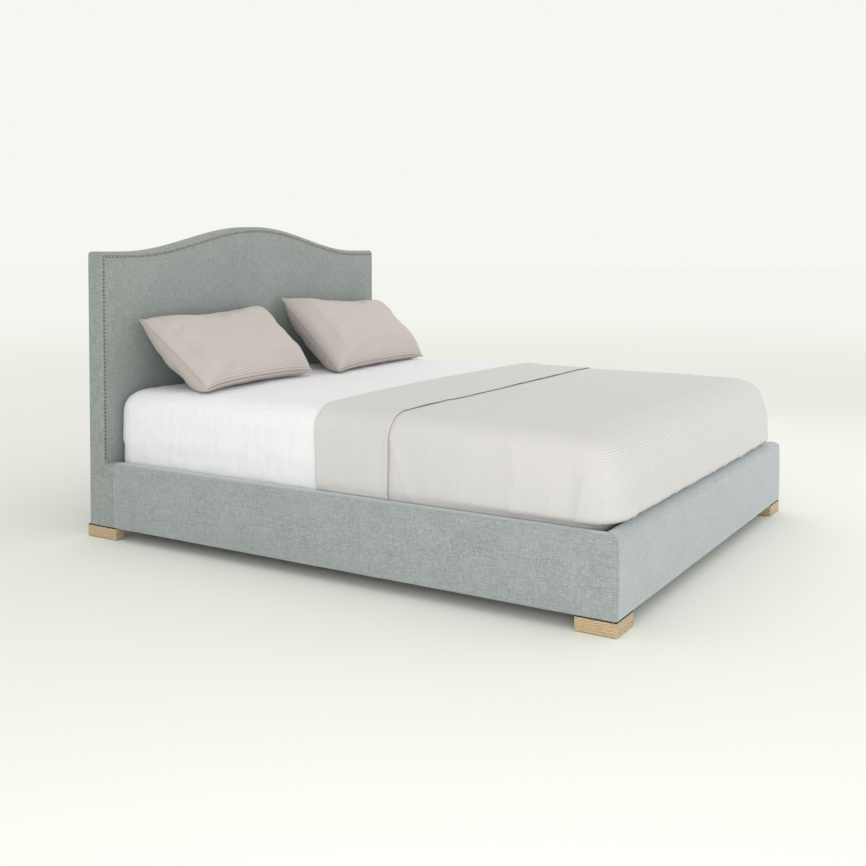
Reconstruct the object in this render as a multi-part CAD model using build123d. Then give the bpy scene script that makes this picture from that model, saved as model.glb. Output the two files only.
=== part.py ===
"""Upholstered double bed with a camelback headboard, dressed with mattress, bedspread and pillows.

Frame: origin on the floor under the middle of the bed, +Z up, +X across the bed,
+Y from the foot end to the headboard. All sizes are in millimetres.
"""

import math
import os

from build123d import *

# ---- driving dimensions -------------------------------------------------------------------
BED_WIDTH = 1940.0            # over the side rails and over the headboard
BED_LENGTH = 2300.0           # foot rail face to the back of the rear feet
RAIL_THICKNESS = 62.0
RAIL_BOTTOM = 50.0
RAIL_TOP = 308.0
RAIL_OUTER_ROUND = 20.0
RAIL_INNER_ROUND = 12.0
RAIL_LOWER_ROUND = 6.0
CHEEK_DEPTH = 53.0            # headboard cheeks, flush with the side rails
HEADBOARD_THICKNESS = 77.0
REAR_FOOT_PROUD = 17.0        # how far the rear feet stand out behind the headboard

SHOULDER_HEIGHT = 1165.0      # top of the headboard at its sides
CROWN_RISE = 114.0            # how much higher the crown of the camelback is
CROWN_HALF_SPAN = 800.0       # from the crown to the level shoulder
CROWN_POINTS = 9              # points of the curve on each side of the crown

COVER = 2.0                   # upholstery cloth
HEADBOARD_FOAM = 24.0
PANEL = 12.0
BACK_CLOTH = 1.0
BOARD = 26.0                  # rail boards
BOARD_TOP_FOAM = 16.0         # foam over the top edge of a rail board
SHOULDER_ROUND = 18.0            # upper corners of the headboard
POST_WIDTH = 90.0             # headboard posts
BOTTOM_RAIL_TOP = 250.0       # headboard cross rails
MIDDLE_RAIL = (620.0, 710.0)
TOP_RAIL_BOTTOM = 1060.0
COVER_RETURN = 30.0           # cloth turned down inside a rail

NAIL_RADIUS = 5.2
NAIL_HEIGHT = 3.0
NAIL_SHANK_RADIUS = 0.9
NAIL_SHANK = 12.0
NAIL_PITCH = 15.4
NAIL_SIDE_INSET = 11.0
NAIL_TOP_INSET = 20.0

FOOT_SIZE = 140.0             # front feet, square
REAR_FOOT_WIDTH = 45.0
REAR_FOOT_LENGTH = 162.0
FOOT_EDGE = 3.0
FOOT_LOWER_EDGE = 1.0
FELT = 2.0
FELT_INSET = 12.0
FOOT_PLATE = 4.0
PLATE_INSET = 2.0

LEDGE_WIDTH = 30.0
LEDGE_HEIGHT = 30.0
LEDGE_TOP = 275.0
LEDGE_FOOT_GAP = 90.0
LEDGE_HEAD_GAP = 10.0
CORNER_BLOCK_SIDE = 84.0
CORNER_BLOCK_HEIGHT = 190.0
SCREW_RADIUS = 3.0
SCREW_HEIGHTS = (95.0, 205.0)
SCREW_IN_BLOCK = 14.0
SCREW_IN_BOARD = 20.0
SIDE_SCREW_PLACE = 30.0       # from the foot rail's inner face
FOOT_SCREW_PLACE = 28.0       # from the side rail's inner face
BOLT_RADIUS = 4.0
BOLT_HEIGHTS = (120.0, 240.0)
BOLT_IN_RAIL = 50.0
BOLT_IN_POST = 30.0
BEAM_WIDTH = 40.0
BEAM_HEIGHT = 50.0
TUBE_WALL = 2.0
BEAM_END_GAP = 4.0
HANGER_PLAY = 0.3
HANGER_WALL = 3.0
HANGER_REACH = 44.0
HANGER_HALF_WIDTH = 45.0
HANGER_BELOW = 12.0           # plate below the beam
HANGER_LIP_GAP = 8.0          # cradle sides stop below the top of the beam
HANGER_TOP_GAP = 2.0
SLAT_COUNT = 14
SLAT_PITCH = 150.0
SLAT_WIDTH = 68.0
SLAT_THICKNESS = 8.0
SLAT_CAMBER = 3.0
SLAT_START = 6.0              # from the middle of the bed
SLAT_END_GAP = 5.0            # between a slat and the outer end of its holder
HOLDER_LENGTH = 25.0
HOLDER_RISE = 6.0             # slat above the ledge
HOLDER_LIP = 3.0
SLOT_PLAY = 0.5
HOLDER_WALL = 4.0
CENTRE_HOLDER_HALF = 28.0
CENTRE_WEB_HALF = 5.0

LEG_RADIUS = 19.0
LEG_PITCH = 700.0
LEG_FLANGE_HALF = 30.0
LEG_FLANGE = 3.0
LEG_BOTTOM = 26.0
LEG_HOLE_TOP = 76.0
GLIDE_RADIUS = 18.0
GLIDE_HEIGHT = 10.0
HEXAGON_RADIUS = 8.0
HEXAGON_HEIGHT = 8.0
STUD_RADIUS = 4.0
STUD_TOP = 70.0
STUD_PLAY = 0.05

MATTRESS_WIDTH = 1790.0
MATTRESS_LENGTH = 2106.0
MATTRESS_BOTTOM = 292.5
MATTRESS_TOP = 597.0
TOPPER = 60.0
MATTRESS_CORNER = 60.0
MATTRESS_EDGE = 40.0
MATTRESS_FOOT_GAP = 26.0
SHEET = 1.0
LAY_GAP = 0.5                 # air between pieces that lift off one another
BEDSPREAD = 5.0
TURN_DOWN = 4.0
TURN_DOWN_FOLD = 15.0         # y of the folded edge
TURN_DOWN_HEM = -270.0        # y of the hem
TUCK_DEPTH = 10.0             # bedding tucked below the rail tops

PILLOW_LENGTH = 750.0
PILLOW_DEPTH = 440.0
PILLOW_THICKNESS = 130.0
PILLOW_ROUND = 50.0
PILLOW_CASE = 1.5
PILLOW_LEAN = 42.0
PILLOW_CENTRES = {"left": -405.0, "right": 505.0}

# ---- derived places -----------------------------------------------------------------------
HALF_WIDTH = BED_WIDTH / 2
INNER_HALF = HALF_WIDTH - RAIL_THICKNESS
FOOT_FACE = -BED_LENGTH / 2
FOOT_INNER = FOOT_FACE + RAIL_THICKNESS
HEADBOARD_BACK = BED_LENGTH / 2 - REAR_FOOT_PROUD
HEADBOARD_FRONT = HEADBOARD_BACK - HEADBOARD_THICKNESS
SEAM = HEADBOARD_FRONT - CHEEK_DEPTH
PANEL_FRONT = HEADBOARD_FRONT + COVER + HEADBOARD_FOAM
FRAME_FRONT = PANEL_FRONT + PANEL
FRAME_BACK = HEADBOARD_BACK - BACK_CLOTH
BOARD_INNER = INNER_HALF + COVER
BOARD_OUTER = BOARD_INNER + BOARD
FOOT_TOP = RAIL_BOTTOM - FOOT_PLATE
MATTRESS_FOOT = FOOT_INNER + MATTRESS_FOOT_GAP
TALL = 2000.0                 # more than any height here, for cutting prisms


def box(low, high):
    """Return the box between two opposite corners."""
    size = [b - a for a, b in zip(low, high)]
    centre = [(a + b) / 2 for a, b in zip(low, high)]
    return Pos(*centre) * Box(*size)


def rod(radius, start, end):
    """Return a round bar between two points."""
    axis = Vector(*end) - Vector(*start)
    plane = Plane(origin=start, z_dir=axis.normalized())
    return extrude(plane * Circle(radius), axis.length)


def prism(corners, bottom, height):
    """Return an upright prism on the given plan corners."""
    outline = make_face(Polyline(*corners, close=True))
    return extrude(Pos(0, 0, bottom) * outline, height)


def mirrored(shape):
    """Return the shape's twin on the other side of the bed."""
    return mirror(shape, about=Plane.YZ)


def group(shapes):
    """Return several separate solids as one part."""
    return Compound(children=[solid for shape in shapes for solid in shape.solids()])


def rounded(face, corner, radius):
    """Round the corner of a flat outline that lies nearest to the point given."""
    nearest = min(face.vertices(), key=lambda v: (Vector(v.X, v.Y, v.Z) - corner).length)
    return fillet([nearest], radius)


# ---- rails --------------------------------------------------------------------------------
def rail_section(inset):
    """Outline of an upholstered rail, drawn with x outwards from the mattress and y up."""
    low, high = inset, RAIL_THICKNESS - inset
    bottom, top = RAIL_BOTTOM + inset, RAIL_TOP - inset
    face = make_face(Polyline((low, bottom), (high, bottom), (high, top), (low, top), close=True))
    face = rounded(face, Vector(high, top, 0), RAIL_OUTER_ROUND - inset)
    face = rounded(face, Vector(low, top, 0), RAIL_INNER_ROUND - inset)
    return rounded(face, Vector(high, bottom, 0), RAIL_LOWER_ROUND - inset)


def side_bar(inset, start, end):
    """Run the rail section along the right side of the bed from start to end in y."""
    plane = Plane(origin=(INNER_HALF, end, 0), x_dir=(1, 0, 0), z_dir=(0, -1, 0))
    return extrude(plane * rail_section(inset), end - start)


def foot_bar(inset):
    """Run the rail section across the foot of the bed."""
    plane = Plane(origin=(HALF_WIDTH, FOOT_INNER, 0), x_dir=(0, -1, 0), z_dir=(-1, 0, 0))
    return extrude(plane * rail_section(inset), BED_WIDTH)


def split_bar(outer, inner, board, open_side):
    """Split a rail bar into its cloth cover, its foam and its board."""
    cover = outer - inner - open_side
    wood = inner & board
    return {"cover": cover, "foam": inner - wood, "board": wood}


def side_rail():
    """Right side rail, mitred at the foot corner."""
    plan = prism(
        [(INNER_HALF, SEAM), (HALF_WIDTH, SEAM), (HALF_WIDTH, FOOT_FACE), (INNER_HALF, FOOT_INNER)],
        0, TALL,
    )
    outer = side_bar(0, FOOT_FACE, SEAM) & plan
    inner = side_bar(COVER, FOOT_FACE, SEAM) & plan
    board_top = RAIL_TOP - COVER - BOARD_TOP_FOAM
    board = box((INNER_HALF, FOOT_FACE, RAIL_BOTTOM), (BOARD_OUTER, SEAM, board_top))
    open_side = box(
        (INNER_HALF, FOOT_FACE, RAIL_BOTTOM + COVER), (BOARD_INNER, SEAM, RAIL_TOP - COVER_RETURN)
    )
    return split_bar(outer, inner, board, open_side)


def foot_rail():
    """Foot rail, mitred at both ends."""
    plan = prism(
        [(-HALF_WIDTH, FOOT_FACE), (HALF_WIDTH, FOOT_FACE), (INNER_HALF, FOOT_INNER),
         (-INNER_HALF, FOOT_INNER)],
        0, TALL,
    )
    outer = foot_bar(0) & plan
    inner = foot_bar(COVER) & plan
    board_top = RAIL_TOP - COVER - BOARD_TOP_FOAM
    board = box(
        (-HALF_WIDTH, FOOT_INNER - COVER - BOARD, RAIL_BOTTOM), (HALF_WIDTH, FOOT_INNER, board_top)
    )
    open_side = box(
        (-HALF_WIDTH, FOOT_INNER - COVER, RAIL_BOTTOM + COVER),
        (HALF_WIDTH, FOOT_INNER, RAIL_TOP - COVER_RETURN),
    )
    return split_bar(outer, inner, board, open_side)


def cheek():
    """Right headboard cheek: a block under cloth that carries the rail's line to the headboard."""
    outer = side_bar(0, SEAM, HEADBOARD_FRONT)
    block = side_bar(COVER, SEAM, HEADBOARD_FRONT)
    return {"cover": outer - block, "block": block}


def ledge():
    """Right slat ledge, fixed to the inside of the side rail's board."""
    return box(
        (BOARD_INNER - LEDGE_WIDTH, FOOT_INNER + LEDGE_FOOT_GAP, LEDGE_TOP - LEDGE_HEIGHT),
        (BOARD_INNER, SEAM - LEDGE_HEAD_GAP, LEDGE_TOP),
    )


def corner_block():
    """Right foot corner block: a three-cornered post inside the rail boards."""
    side, back = BOARD_INNER, FOOT_INNER - COVER
    plan = [(side, back), (side, back + CORNER_BLOCK_SIDE), (side - CORNER_BLOCK_SIDE, back)]
    return prism(plan, RAIL_BOTTOM + COVER, CORNER_BLOCK_HEIGHT)


def corner_screws():
    """Right corner's screws, one into each board at two heights."""
    side_y, foot_x = FOOT_INNER + SIDE_SCREW_PLACE, INNER_HALF - FOOT_SCREW_PLACE
    foot_y = FOOT_INNER - COVER
    screws = []
    for z in SCREW_HEIGHTS:
        start, end = BOARD_INNER - SCREW_IN_BLOCK, BOARD_INNER + SCREW_IN_BOARD
        screws.append(rod(SCREW_RADIUS, (start, side_y, z), (end, side_y, z)))
        start, end = foot_y + SCREW_IN_BLOCK, foot_y - SCREW_IN_BOARD
        screws.append(rod(SCREW_RADIUS, (foot_x, start, z), (foot_x, end, z)))
    return screws


def head_bolts():
    """Right side's bed bolts, from the rail board through the cheek into the headboard post."""
    x = BOARD_INNER + BOARD / 2
    near, far = SEAM - BOLT_IN_RAIL, FRAME_FRONT + BOLT_IN_POST
    return [rod(BOLT_RADIUS, (x, near, z), (x, far, z)) for z in BOLT_HEIGHTS]


# ---- headboard ----------------------------------------------------------------------------
def crown_height(x, inset):
    """Height of the headboard's top edge at x, lowered by the inset."""
    if abs(x) >= CROWN_HALF_SPAN:
        return SHOULDER_HEIGHT - inset
    swell = (1 + math.cos(math.pi * x / CROWN_HALF_SPAN)) / 2
    return SHOULDER_HEIGHT - inset + CROWN_RISE * swell


def headboard_outline(inset, bottom):
    """Front outline of the headboard, as a face on the XZ plane at y = 0."""
    half = HALF_WIDTH - inset
    steps = range(-CROWN_POINTS, CROWN_POINTS + 1)
    xs = [CROWN_HALF_SPAN * step / CROWN_POINTS for step in steps]
    crown = [(x, crown_height(x, inset)) for x in xs]
    level = SHOULDER_HEIGHT - inset
    curve = Spline(*crown, tangents=((1, 0), (1, 0)))
    rest = Polyline(
        (CROWN_HALF_SPAN, level), (half, level), (half, bottom), (-half, bottom), (-half, level),
        (-CROWN_HALF_SPAN, level),
    )
    face = make_face([curve, rest])
    for side in (-half, half):
        face = rounded(face, Vector(side, level, 0), SHOULDER_ROUND - inset)
    return face


def headboard_layer(inset, bottom, front, back):
    """Solid layer of the headboard's shape between two depths."""
    plane = Plane(origin=(0, back, 0), x_dir=(1, 0, 0), z_dir=(0, -1, 0))
    return extrude(plane * headboard_outline(inset, bottom), back - front)


def headboard():
    """Layers of the headboard from its cloth face to its back."""
    bottom = RAIL_BOTTOM + COVER
    inner = headboard_layer(COVER, bottom, HEADBOARD_FRONT + COVER, FRAME_BACK)
    outer = headboard_layer(0, RAIL_BOTTOM, HEADBOARD_FRONT, FRAME_BACK)
    frame = headboard_layer(COVER, bottom, FRAME_FRONT, FRAME_BACK)
    half = HALF_WIDTH - COVER
    post = frame & box((half - POST_WIDTH, FRAME_FRONT, bottom), (half, FRAME_BACK, SHOULDER_HEIGHT))
    reach = half - POST_WIDTH

    def cross(low, high):
        return frame & box((-reach, FRAME_FRONT, low), (reach, FRAME_BACK, high))

    return {
        "headboard_cover": outer - inner,
        "headboard_foam": headboard_layer(COVER, bottom, HEADBOARD_FRONT + COVER, PANEL_FRONT),
        "headboard_panel": headboard_layer(COVER, bottom, PANEL_FRONT, FRAME_FRONT),
        "headboard_post_right": post,
        "headboard_post_left": mirrored(post),
        "headboard_bottom_rail": cross(bottom, BOTTOM_RAIL_TOP),
        "headboard_middle_rail": cross(*MIDDLE_RAIL),
        "headboard_top_rail": cross(TOP_RAIL_BOTTOM, TALL),
        "headboard_back_cloth": headboard_layer(0, RAIL_BOTTOM, FRAME_BACK, HEADBOARD_BACK),
    }


def nail(x, z):
    """One domed upholstery nail with its shank, on the headboard's face."""
    dome_radius = (NAIL_RADIUS ** 2 + NAIL_HEIGHT ** 2) / (2 * NAIL_HEIGHT)
    ball = Pos(0, 0, NAIL_HEIGHT - dome_radius) * Sphere(dome_radius)
    dome = ball & Pos(0, 0, NAIL_HEIGHT / 2) * Cylinder(NAIL_RADIUS, NAIL_HEIGHT)
    shank = Pos(0, 0, -NAIL_SHANK / 2) * Cylinder(NAIL_SHANK_RADIUS, NAIL_SHANK)
    return Pos(x, HEADBOARD_FRONT, z) * Rot(90, 0, 0) * (dome + shank)


def nail_places():
    """Places of the nails: up both sides and along the camelback."""
    x_side = HALF_WIDTH - NAIL_SIDE_INSET
    top = SHOULDER_HEIGHT - NAIL_TOP_INSET
    count = int((top - RAIL_TOP - NAIL_PITCH / 2) / NAIL_PITCH)
    side = [(x_side, top - NAIL_PITCH * (i + 1)) for i in range(count)]
    steps = 4000
    walk = [-x_side + 2 * x_side * i / steps for i in range(steps + 1)]
    arc = [0.0]
    for a, b in zip(walk, walk[1:]):
        rise = crown_height(b, NAIL_TOP_INSET) - crown_height(a, NAIL_TOP_INSET)
        arc.append(arc[-1] + math.hypot(b - a, rise))
    total = round(arc[-1] / NAIL_PITCH)
    pitch = arc[-1] / total
    row, at = [], 0
    for i in range(total + 1):
        while at < steps and arc[at] < i * pitch - 1e-6:
            at += 1
        row.append((walk[at], crown_height(walk[at], NAIL_TOP_INSET)))
    return side, row


# ---- feet ---------------------------------------------------------------------------------
def foot_block(low, high):
    """A wooden foot between two plan corners, with softened upright and lower edges."""
    block = box((*low, FELT), (*high, FOOT_TOP))
    block = fillet(block.edges().filter_by(Axis.Z), FOOT_EDGE)
    return chamfer(block.faces().sort_by(Axis.Z)[0].edges(), FOOT_LOWER_EDGE)


def foot_set(low, high):
    """Foot, felt pad and black plate of one corner on the right side."""
    felt_low, felt_high = [v + FELT_INSET for v in low], [v - FELT_INSET for v in high]
    plate_low, plate_high = [v + PLATE_INSET for v in low], [v - PLATE_INSET for v in high]
    return {
        "foot": foot_block(low, high),
        "felt": box((*felt_low, 0), (*felt_high, FELT)),
        "plate": box((*plate_low, FOOT_TOP), (*plate_high, RAIL_BOTTOM)),
    }


# ---- slat base ----------------------------------------------------------------------------
def slat(y):
    """One right-hand slat, cambered upwards between its two holders."""
    left, right = SLAT_START, BOARD_INNER - LEDGE_WIDTH + HOLDER_LENGTH - SLAT_END_GAP
    middle = (left + right) / 2
    low = LEDGE_TOP + HOLDER_RISE
    high = low + SLAT_THICKNESS
    outline = make_face([
        ThreePointArc((left, low), (middle, low + SLAT_CAMBER), (right, low)),
        Line((right, low), (right, high)),
        ThreePointArc((right, high), (middle, high + SLAT_CAMBER), (left, high)),
        Line((left, high), (left, low)),
    ])
    plane = Plane(origin=(0, y + SLAT_WIDTH / 2, 0), x_dir=(1, 0, 0), z_dir=(0, -1, 0))
    return extrude(plane * outline, SLAT_WIDTH)


def slat_pocket(low_x, high_x, y):
    """The room a slat end takes up inside its holder."""
    play = SLOT_PLAY
    low = LEDGE_TOP + HOLDER_RISE
    return box(
        (low_x, y - SLAT_WIDTH / 2 - play, low - play),
        (high_x, y + SLAT_WIDTH / 2 + play, low + SLAT_THICKNESS + play),
    )


def holder(low_x, high_x, y):
    """The outside of a plastic slat holder."""
    top = LEDGE_TOP + HOLDER_RISE + SLAT_THICKNESS + HOLDER_LIP
    half = SLAT_WIDTH / 2 + HOLDER_WALL
    return box((low_x, y - half, LEDGE_TOP), (high_x, y + half, top))


def side_holder(y):
    """Holder on the right ledge, open towards the middle of the bed."""
    start = BOARD_INNER - LEDGE_WIDTH
    end = start + HOLDER_LENGTH
    return holder(start, end, y) - slat_pocket(start - 1, end - HOLDER_WALL, y)


def centre_holder(y):
    """Double holder on the centre beam, open on both sides with a web in the middle."""
    half, web = CENTRE_HOLDER_HALF, CENTRE_WEB_HALF
    body = holder(-half, half, y)
    return body - slat_pocket(-half - 1, -web, y) - slat_pocket(web, half + 1, y)


def centre_beam():
    """Steel tube along the middle of the bed."""
    half = BEAM_WIDTH / 2
    start, end = FOOT_INNER - COVER + BEAM_END_GAP, HEADBOARD_FRONT - BEAM_END_GAP
    tube = box((-half, start, LEDGE_TOP - BEAM_HEIGHT), (half, end, LEDGE_TOP))
    bore = box(
        (-half + TUBE_WALL, start - 1, LEDGE_TOP - BEAM_HEIGHT + TUBE_WALL),
        (half - TUBE_WALL, end + 1, LEDGE_TOP - TUBE_WALL),
    )
    return tube - bore


def beam_hanger(face, inward):
    """Steel hanger that holds one end of the beam; inward is +1 or -1 along y."""
    half = BEAM_WIDTH / 2 + HANGER_PLAY
    low = LEDGE_TOP - BEAM_HEIGHT - HANGER_PLAY
    wall = HANGER_WALL
    near, far = sorted((face, face + inward * HANGER_REACH))
    cradle = box((-half - wall, near, low - wall), (half + wall, far, LEDGE_TOP - HANGER_LIP_GAP))
    room = box((-half, near - 1, low), (half, far + 1, LEDGE_TOP))
    near, far = sorted((face, face + inward * wall))
    plate = box(
        (-HANGER_HALF_WIDTH, near, low - HANGER_BELOW),
        (HANGER_HALF_WIDTH, far, LEDGE_TOP - HANGER_TOP_GAP),
    )
    return (cradle - room) + plate


def centre_leg(y):
    """Turned leg under the beam with a threaded hole for its glide."""
    top = LEDGE_TOP - BEAM_HEIGHT
    shaft = rod(LEG_RADIUS, (0, y, LEG_BOTTOM), (0, y, top - LEG_FLANGE))
    half = LEG_FLANGE_HALF
    flange = box((-half, y - half, top - LEG_FLANGE), (half, y + half, top))
    hole = rod(STUD_RADIUS + STUD_PLAY, (0, y, LEG_BOTTOM - 1), (0, y, LEG_HOLE_TOP))
    return shaft + flange - hole


def glide(y):
    """Levelling glide: a foot disc, a hexagon for the spanner and a stud."""
    disc = rod(GLIDE_RADIUS, (0, y, 0), (0, y, GLIDE_HEIGHT))
    hexagon = extrude(Pos(0, y, GLIDE_HEIGHT) * RegularPolygon(HEXAGON_RADIUS, 6), HEXAGON_HEIGHT)
    return disc + hexagon + rod(STUD_RADIUS, (0, y, GLIDE_HEIGHT), (0, y, STUD_TOP))


# ---- bedding ------------------------------------------------------------------------------
def mattress_shape(growth):
    """The mattress's rounded block, grown outwards by the growth given."""
    half = MATTRESS_WIDTH / 2 + growth
    low = (-half, MATTRESS_FOOT - growth, MATTRESS_BOTTOM)
    high = (half, MATTRESS_FOOT + MATTRESS_LENGTH + growth, MATTRESS_TOP + growth)
    block = box(low, high)
    block = fillet(block.edges().filter_by(Axis.Z), MATTRESS_CORNER + growth)
    return fillet(block.faces().sort_by(Axis.Z)[-1].edges(), MATTRESS_EDGE + growth)


def bedding_layer(inner, outer, start, end):
    """Cloth lying over the mattress between two growths and two places in y."""
    layer = mattress_shape(outer) - mattress_shape(inner)
    keep = box((-HALF_WIDTH, start, RAIL_TOP - TUCK_DEPTH), (HALF_WIDTH, end, TALL))
    return layer & keep


def pillow_block(inset):
    """Rounded pillow lying flat at the origin, reduced by the inset."""
    size = [v - 2 * inset for v in (PILLOW_LENGTH, PILLOW_DEPTH, PILLOW_THICKNESS)]
    block = Box(*size)
    return fillet(block.edges(), PILLOW_ROUND - inset)


def pillow(side):
    """Filling and case of one pillow, leaning on the headboard above the mattress."""
    turn = Rot(PILLOW_LEAN, 0, 0)
    reach = (turn * pillow_block(0)).bounding_box()
    y = HEADBOARD_FRONT - NAIL_HEIGHT - LAY_GAP - reach.max.Y
    z = MATTRESS_TOP + SHEET + LAY_GAP - reach.min.Z
    place = Pos(PILLOW_CENTRES[side], y, z) * turn
    filling = pillow_block(PILLOW_CASE)
    return {"case": place * (pillow_block(0) - filling), "filling": place * filling}


# ---- assembly -----------------------------------------------------------------------------
def build():
    """Make every piece of the bed, by name."""
    parts = headboard()

    bolts = head_bolts()
    bolts += [mirrored(bolt) for bolt in bolts]
    screws = corner_screws()
    screws += [mirrored(screw) for screw in screws]
    parts["bed_bolts"] = group(bolts)
    parts["corner_screws"] = group(screws)

    rail = side_rail()
    head = cheek()
    for side, place in (("right", lambda s: s), ("left", mirrored)):
        parts[f"side_rail_board_{side}"] = place(rail["board"])
        parts[f"side_rail_foam_{side}"] = place(rail["foam"])
        parts[f"side_rail_cover_{side}"] = place(rail["cover"])
        parts[f"cheek_block_{side}"] = place(head["block"])
        parts[f"cheek_cover_{side}"] = place(head["cover"])
        parts[f"slat_ledge_{side}"] = place(ledge())
        parts[f"corner_block_{side}"] = place(corner_block())
    for name, piece in foot_rail().items():
        parts[f"foot_rail_{name}"] = piece

    side_nails, top_nails = nail_places()
    parts["nails_right"] = group([nail(x, z) for x, z in side_nails])
    parts["nails_left"] = group([nail(-x, z) for x, z in side_nails])
    parts["nails_top"] = group([nail(x, z) for x, z in top_nails])

    front = foot_set(
        (HALF_WIDTH - FOOT_SIZE, FOOT_FACE), (HALF_WIDTH, FOOT_FACE + FOOT_SIZE)
    )
    rear = foot_set(
        (HALF_WIDTH - REAR_FOOT_WIDTH, BED_LENGTH / 2 - REAR_FOOT_LENGTH),
        (HALF_WIDTH, BED_LENGTH / 2),
    )
    parts["foot_front_right"] = front["foot"]
    parts["foot_front_left"] = mirrored(front["foot"])
    parts["foot_rear_right"] = rear["foot"]
    parts["foot_rear_left"] = mirrored(rear["foot"])
    for name in ("felt", "plate"):
        pair = [front[name], rear[name]]
        parts[f"foot_{name}s"] = group(pair + [mirrored(piece) for piece in pair])

    rows = [SLAT_PITCH * (i - (SLAT_COUNT - 1) / 2) for i in range(SLAT_COUNT)]
    slats = [slat(y) for y in rows]
    holders = [side_holder(y) for y in rows]
    parts["slats_right"] = group(slats)
    parts["slats_left"] = group([mirrored(piece) for piece in slats])
    parts["slat_holders_right"] = group(holders)
    parts["slat_holders_left"] = group([mirrored(piece) for piece in holders])
    parts["slat_holders_centre"] = group([centre_holder(y) for y in rows])

    parts["centre_beam"] = centre_beam()
    parts["beam_hanger_foot"] = beam_hanger(FOOT_INNER - COVER, 1)
    parts["beam_hanger_head"] = beam_hanger(HEADBOARD_FRONT, -1)
    for name, y in (("foot", -LEG_PITCH), ("middle", 0.0), ("head", LEG_PITCH)):
        parts[f"centre_leg_{name}"] = centre_leg(y)
        parts[f"glide_{name}"] = glide(y)

    mattress = mattress_shape(0)
    split = MATTRESS_TOP - TOPPER
    above = box((-HALF_WIDTH, FOOT_FACE, split), (HALF_WIDTH, BED_LENGTH / 2, TALL))
    parts["mattress_topper"] = mattress & above
    parts["mattress_core"] = mattress - above
    parts["fitted_sheet"] = mattress_shape(SHEET) - mattress
    under = SHEET + LAY_GAP
    over = under + BEDSPREAD
    parts["bedspread"] = bedding_layer(under, over, FOOT_FACE, TURN_DOWN_FOLD)
    parts["bedspread_turn_down"] = bedding_layer(
        over, over + TURN_DOWN, TURN_DOWN_HEM, TURN_DOWN_FOLD
    )
    for side in PILLOW_CENTRES:
        pieces = pillow(side)
        parts[f"pillow_case_{side}"] = pieces["case"]
        parts[f"pillow_filling_{side}"] = pieces["filling"]

    drilled = {
        "bed_bolts": ("side_rail_board_", "cheek_block_", "headboard_post_"),
        "corner_screws": ("side_rail_board_", "corner_block_"),
    }
    for fastener, prefixes in drilled.items():
        for prefix in prefixes:
            for side in ("left", "right"):
                parts[prefix + side] -= parts[fastener]
    for name in ("headboard_cover", "headboard_foam", "headboard_panel"):
        parts[name] -= parts["bed_bolts"]
    parts["foot_rail_board"] -= parts["corner_screws"]
    return parts


def main():
    """Write one STEP file per piece."""
    os.makedirs("parts", exist_ok=True)
    for name, shape in build().items():
        export_step(shape, f"parts/{name}.step")


if __name__ == "__main__":
    main()
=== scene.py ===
"""Looks of an upholstered bed with a crowned headboard, made up with bedclothes and pillows."""

import logging
import math
from dataclasses import dataclass
from enum import Enum
from typing import Any, Callable, Sequence

import bmesh
import bpy
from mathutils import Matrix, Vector, noise


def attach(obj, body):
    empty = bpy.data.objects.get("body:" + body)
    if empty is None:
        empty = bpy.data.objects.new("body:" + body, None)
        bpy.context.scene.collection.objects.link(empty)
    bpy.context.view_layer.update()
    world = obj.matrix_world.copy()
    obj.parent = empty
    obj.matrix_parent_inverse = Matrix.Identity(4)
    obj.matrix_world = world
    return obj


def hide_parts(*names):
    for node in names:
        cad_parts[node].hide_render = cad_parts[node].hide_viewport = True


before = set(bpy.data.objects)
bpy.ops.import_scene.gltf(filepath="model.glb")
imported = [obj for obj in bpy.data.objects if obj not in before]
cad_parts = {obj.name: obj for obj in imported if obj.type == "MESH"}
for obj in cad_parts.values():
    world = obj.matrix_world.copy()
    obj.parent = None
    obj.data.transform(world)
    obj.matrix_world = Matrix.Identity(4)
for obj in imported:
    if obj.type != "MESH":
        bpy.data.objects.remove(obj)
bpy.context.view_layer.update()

LOG = logging.getLogger("bed")
MM = 0.001
CLOTH_UV = "Cloth"

Point = tuple[float, float, float]
Tree = bpy.types.NodeTree
Material = bpy.types.Material
Object = bpy.types.Object
BMesh = bmesh.types.BMesh
Socket = Any  # a node's output, or a constant in its place
Place = Callable[[float, float], Point]


class Body(Enum):
    """Bodies of the frame that pieces ride on."""

    FRAME = "bed_frame"
    MATTRESS = "mattress"
    BEDSPREAD = "bedspread"
    PILLOW_LEFT = "pillow_left"
    PILLOW_RIGHT = "pillow_right"


class Side(Enum):
    """Left and right of the bed, seen from its foot, as the sign of x."""

    LEFT = -1
    RIGHT = 1

    @property
    def word(self) -> str:
        """The side's name as it stands in piece names."""
        return self.name.lower()


# ---------------------------------------------------------------- node helpers


def linear(colour: str) -> tuple[float, float, float, float]:
    """Turns an sRGB hex colour into linear RGBA.

    Args:
        colour: A colour such as "#a0b1c2".

    Returns:
        Linear red, green, blue and an alpha of 1.
    """
    parts = [int(colour[i : i + 2], 16) / 255 for i in (1, 3, 5)]
    red, green, blue = [p / 12.92 if p <= 0.04045 else ((p + 0.055) / 1.055) ** 2.4 for p in parts]
    return red, green, blue, 1.0


def add(
    tree: Tree, kind: str, inputs: dict[Any, Any] | None = None, **settings: Any
) -> bpy.types.Node:
    """Adds one node, with its settings and links.

    Args:
        tree: The node tree of a material.
        kind: The node's type without its ShaderNode prefix.
        inputs: Socket name or number to a value, or to an output socket to link from.
        **settings: Properties of the node itself.

    Returns:
        The new node.
    """
    node = tree.nodes.new(f"ShaderNode{kind}")
    for key, value in settings.items():
        setattr(node, key, value)
    for key, value in (inputs or {}).items():
        if isinstance(value, bpy.types.NodeSocket):
            tree.links.new(value, node.inputs[key])
        else:
            node.inputs[key].default_value = value
    return node


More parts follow.
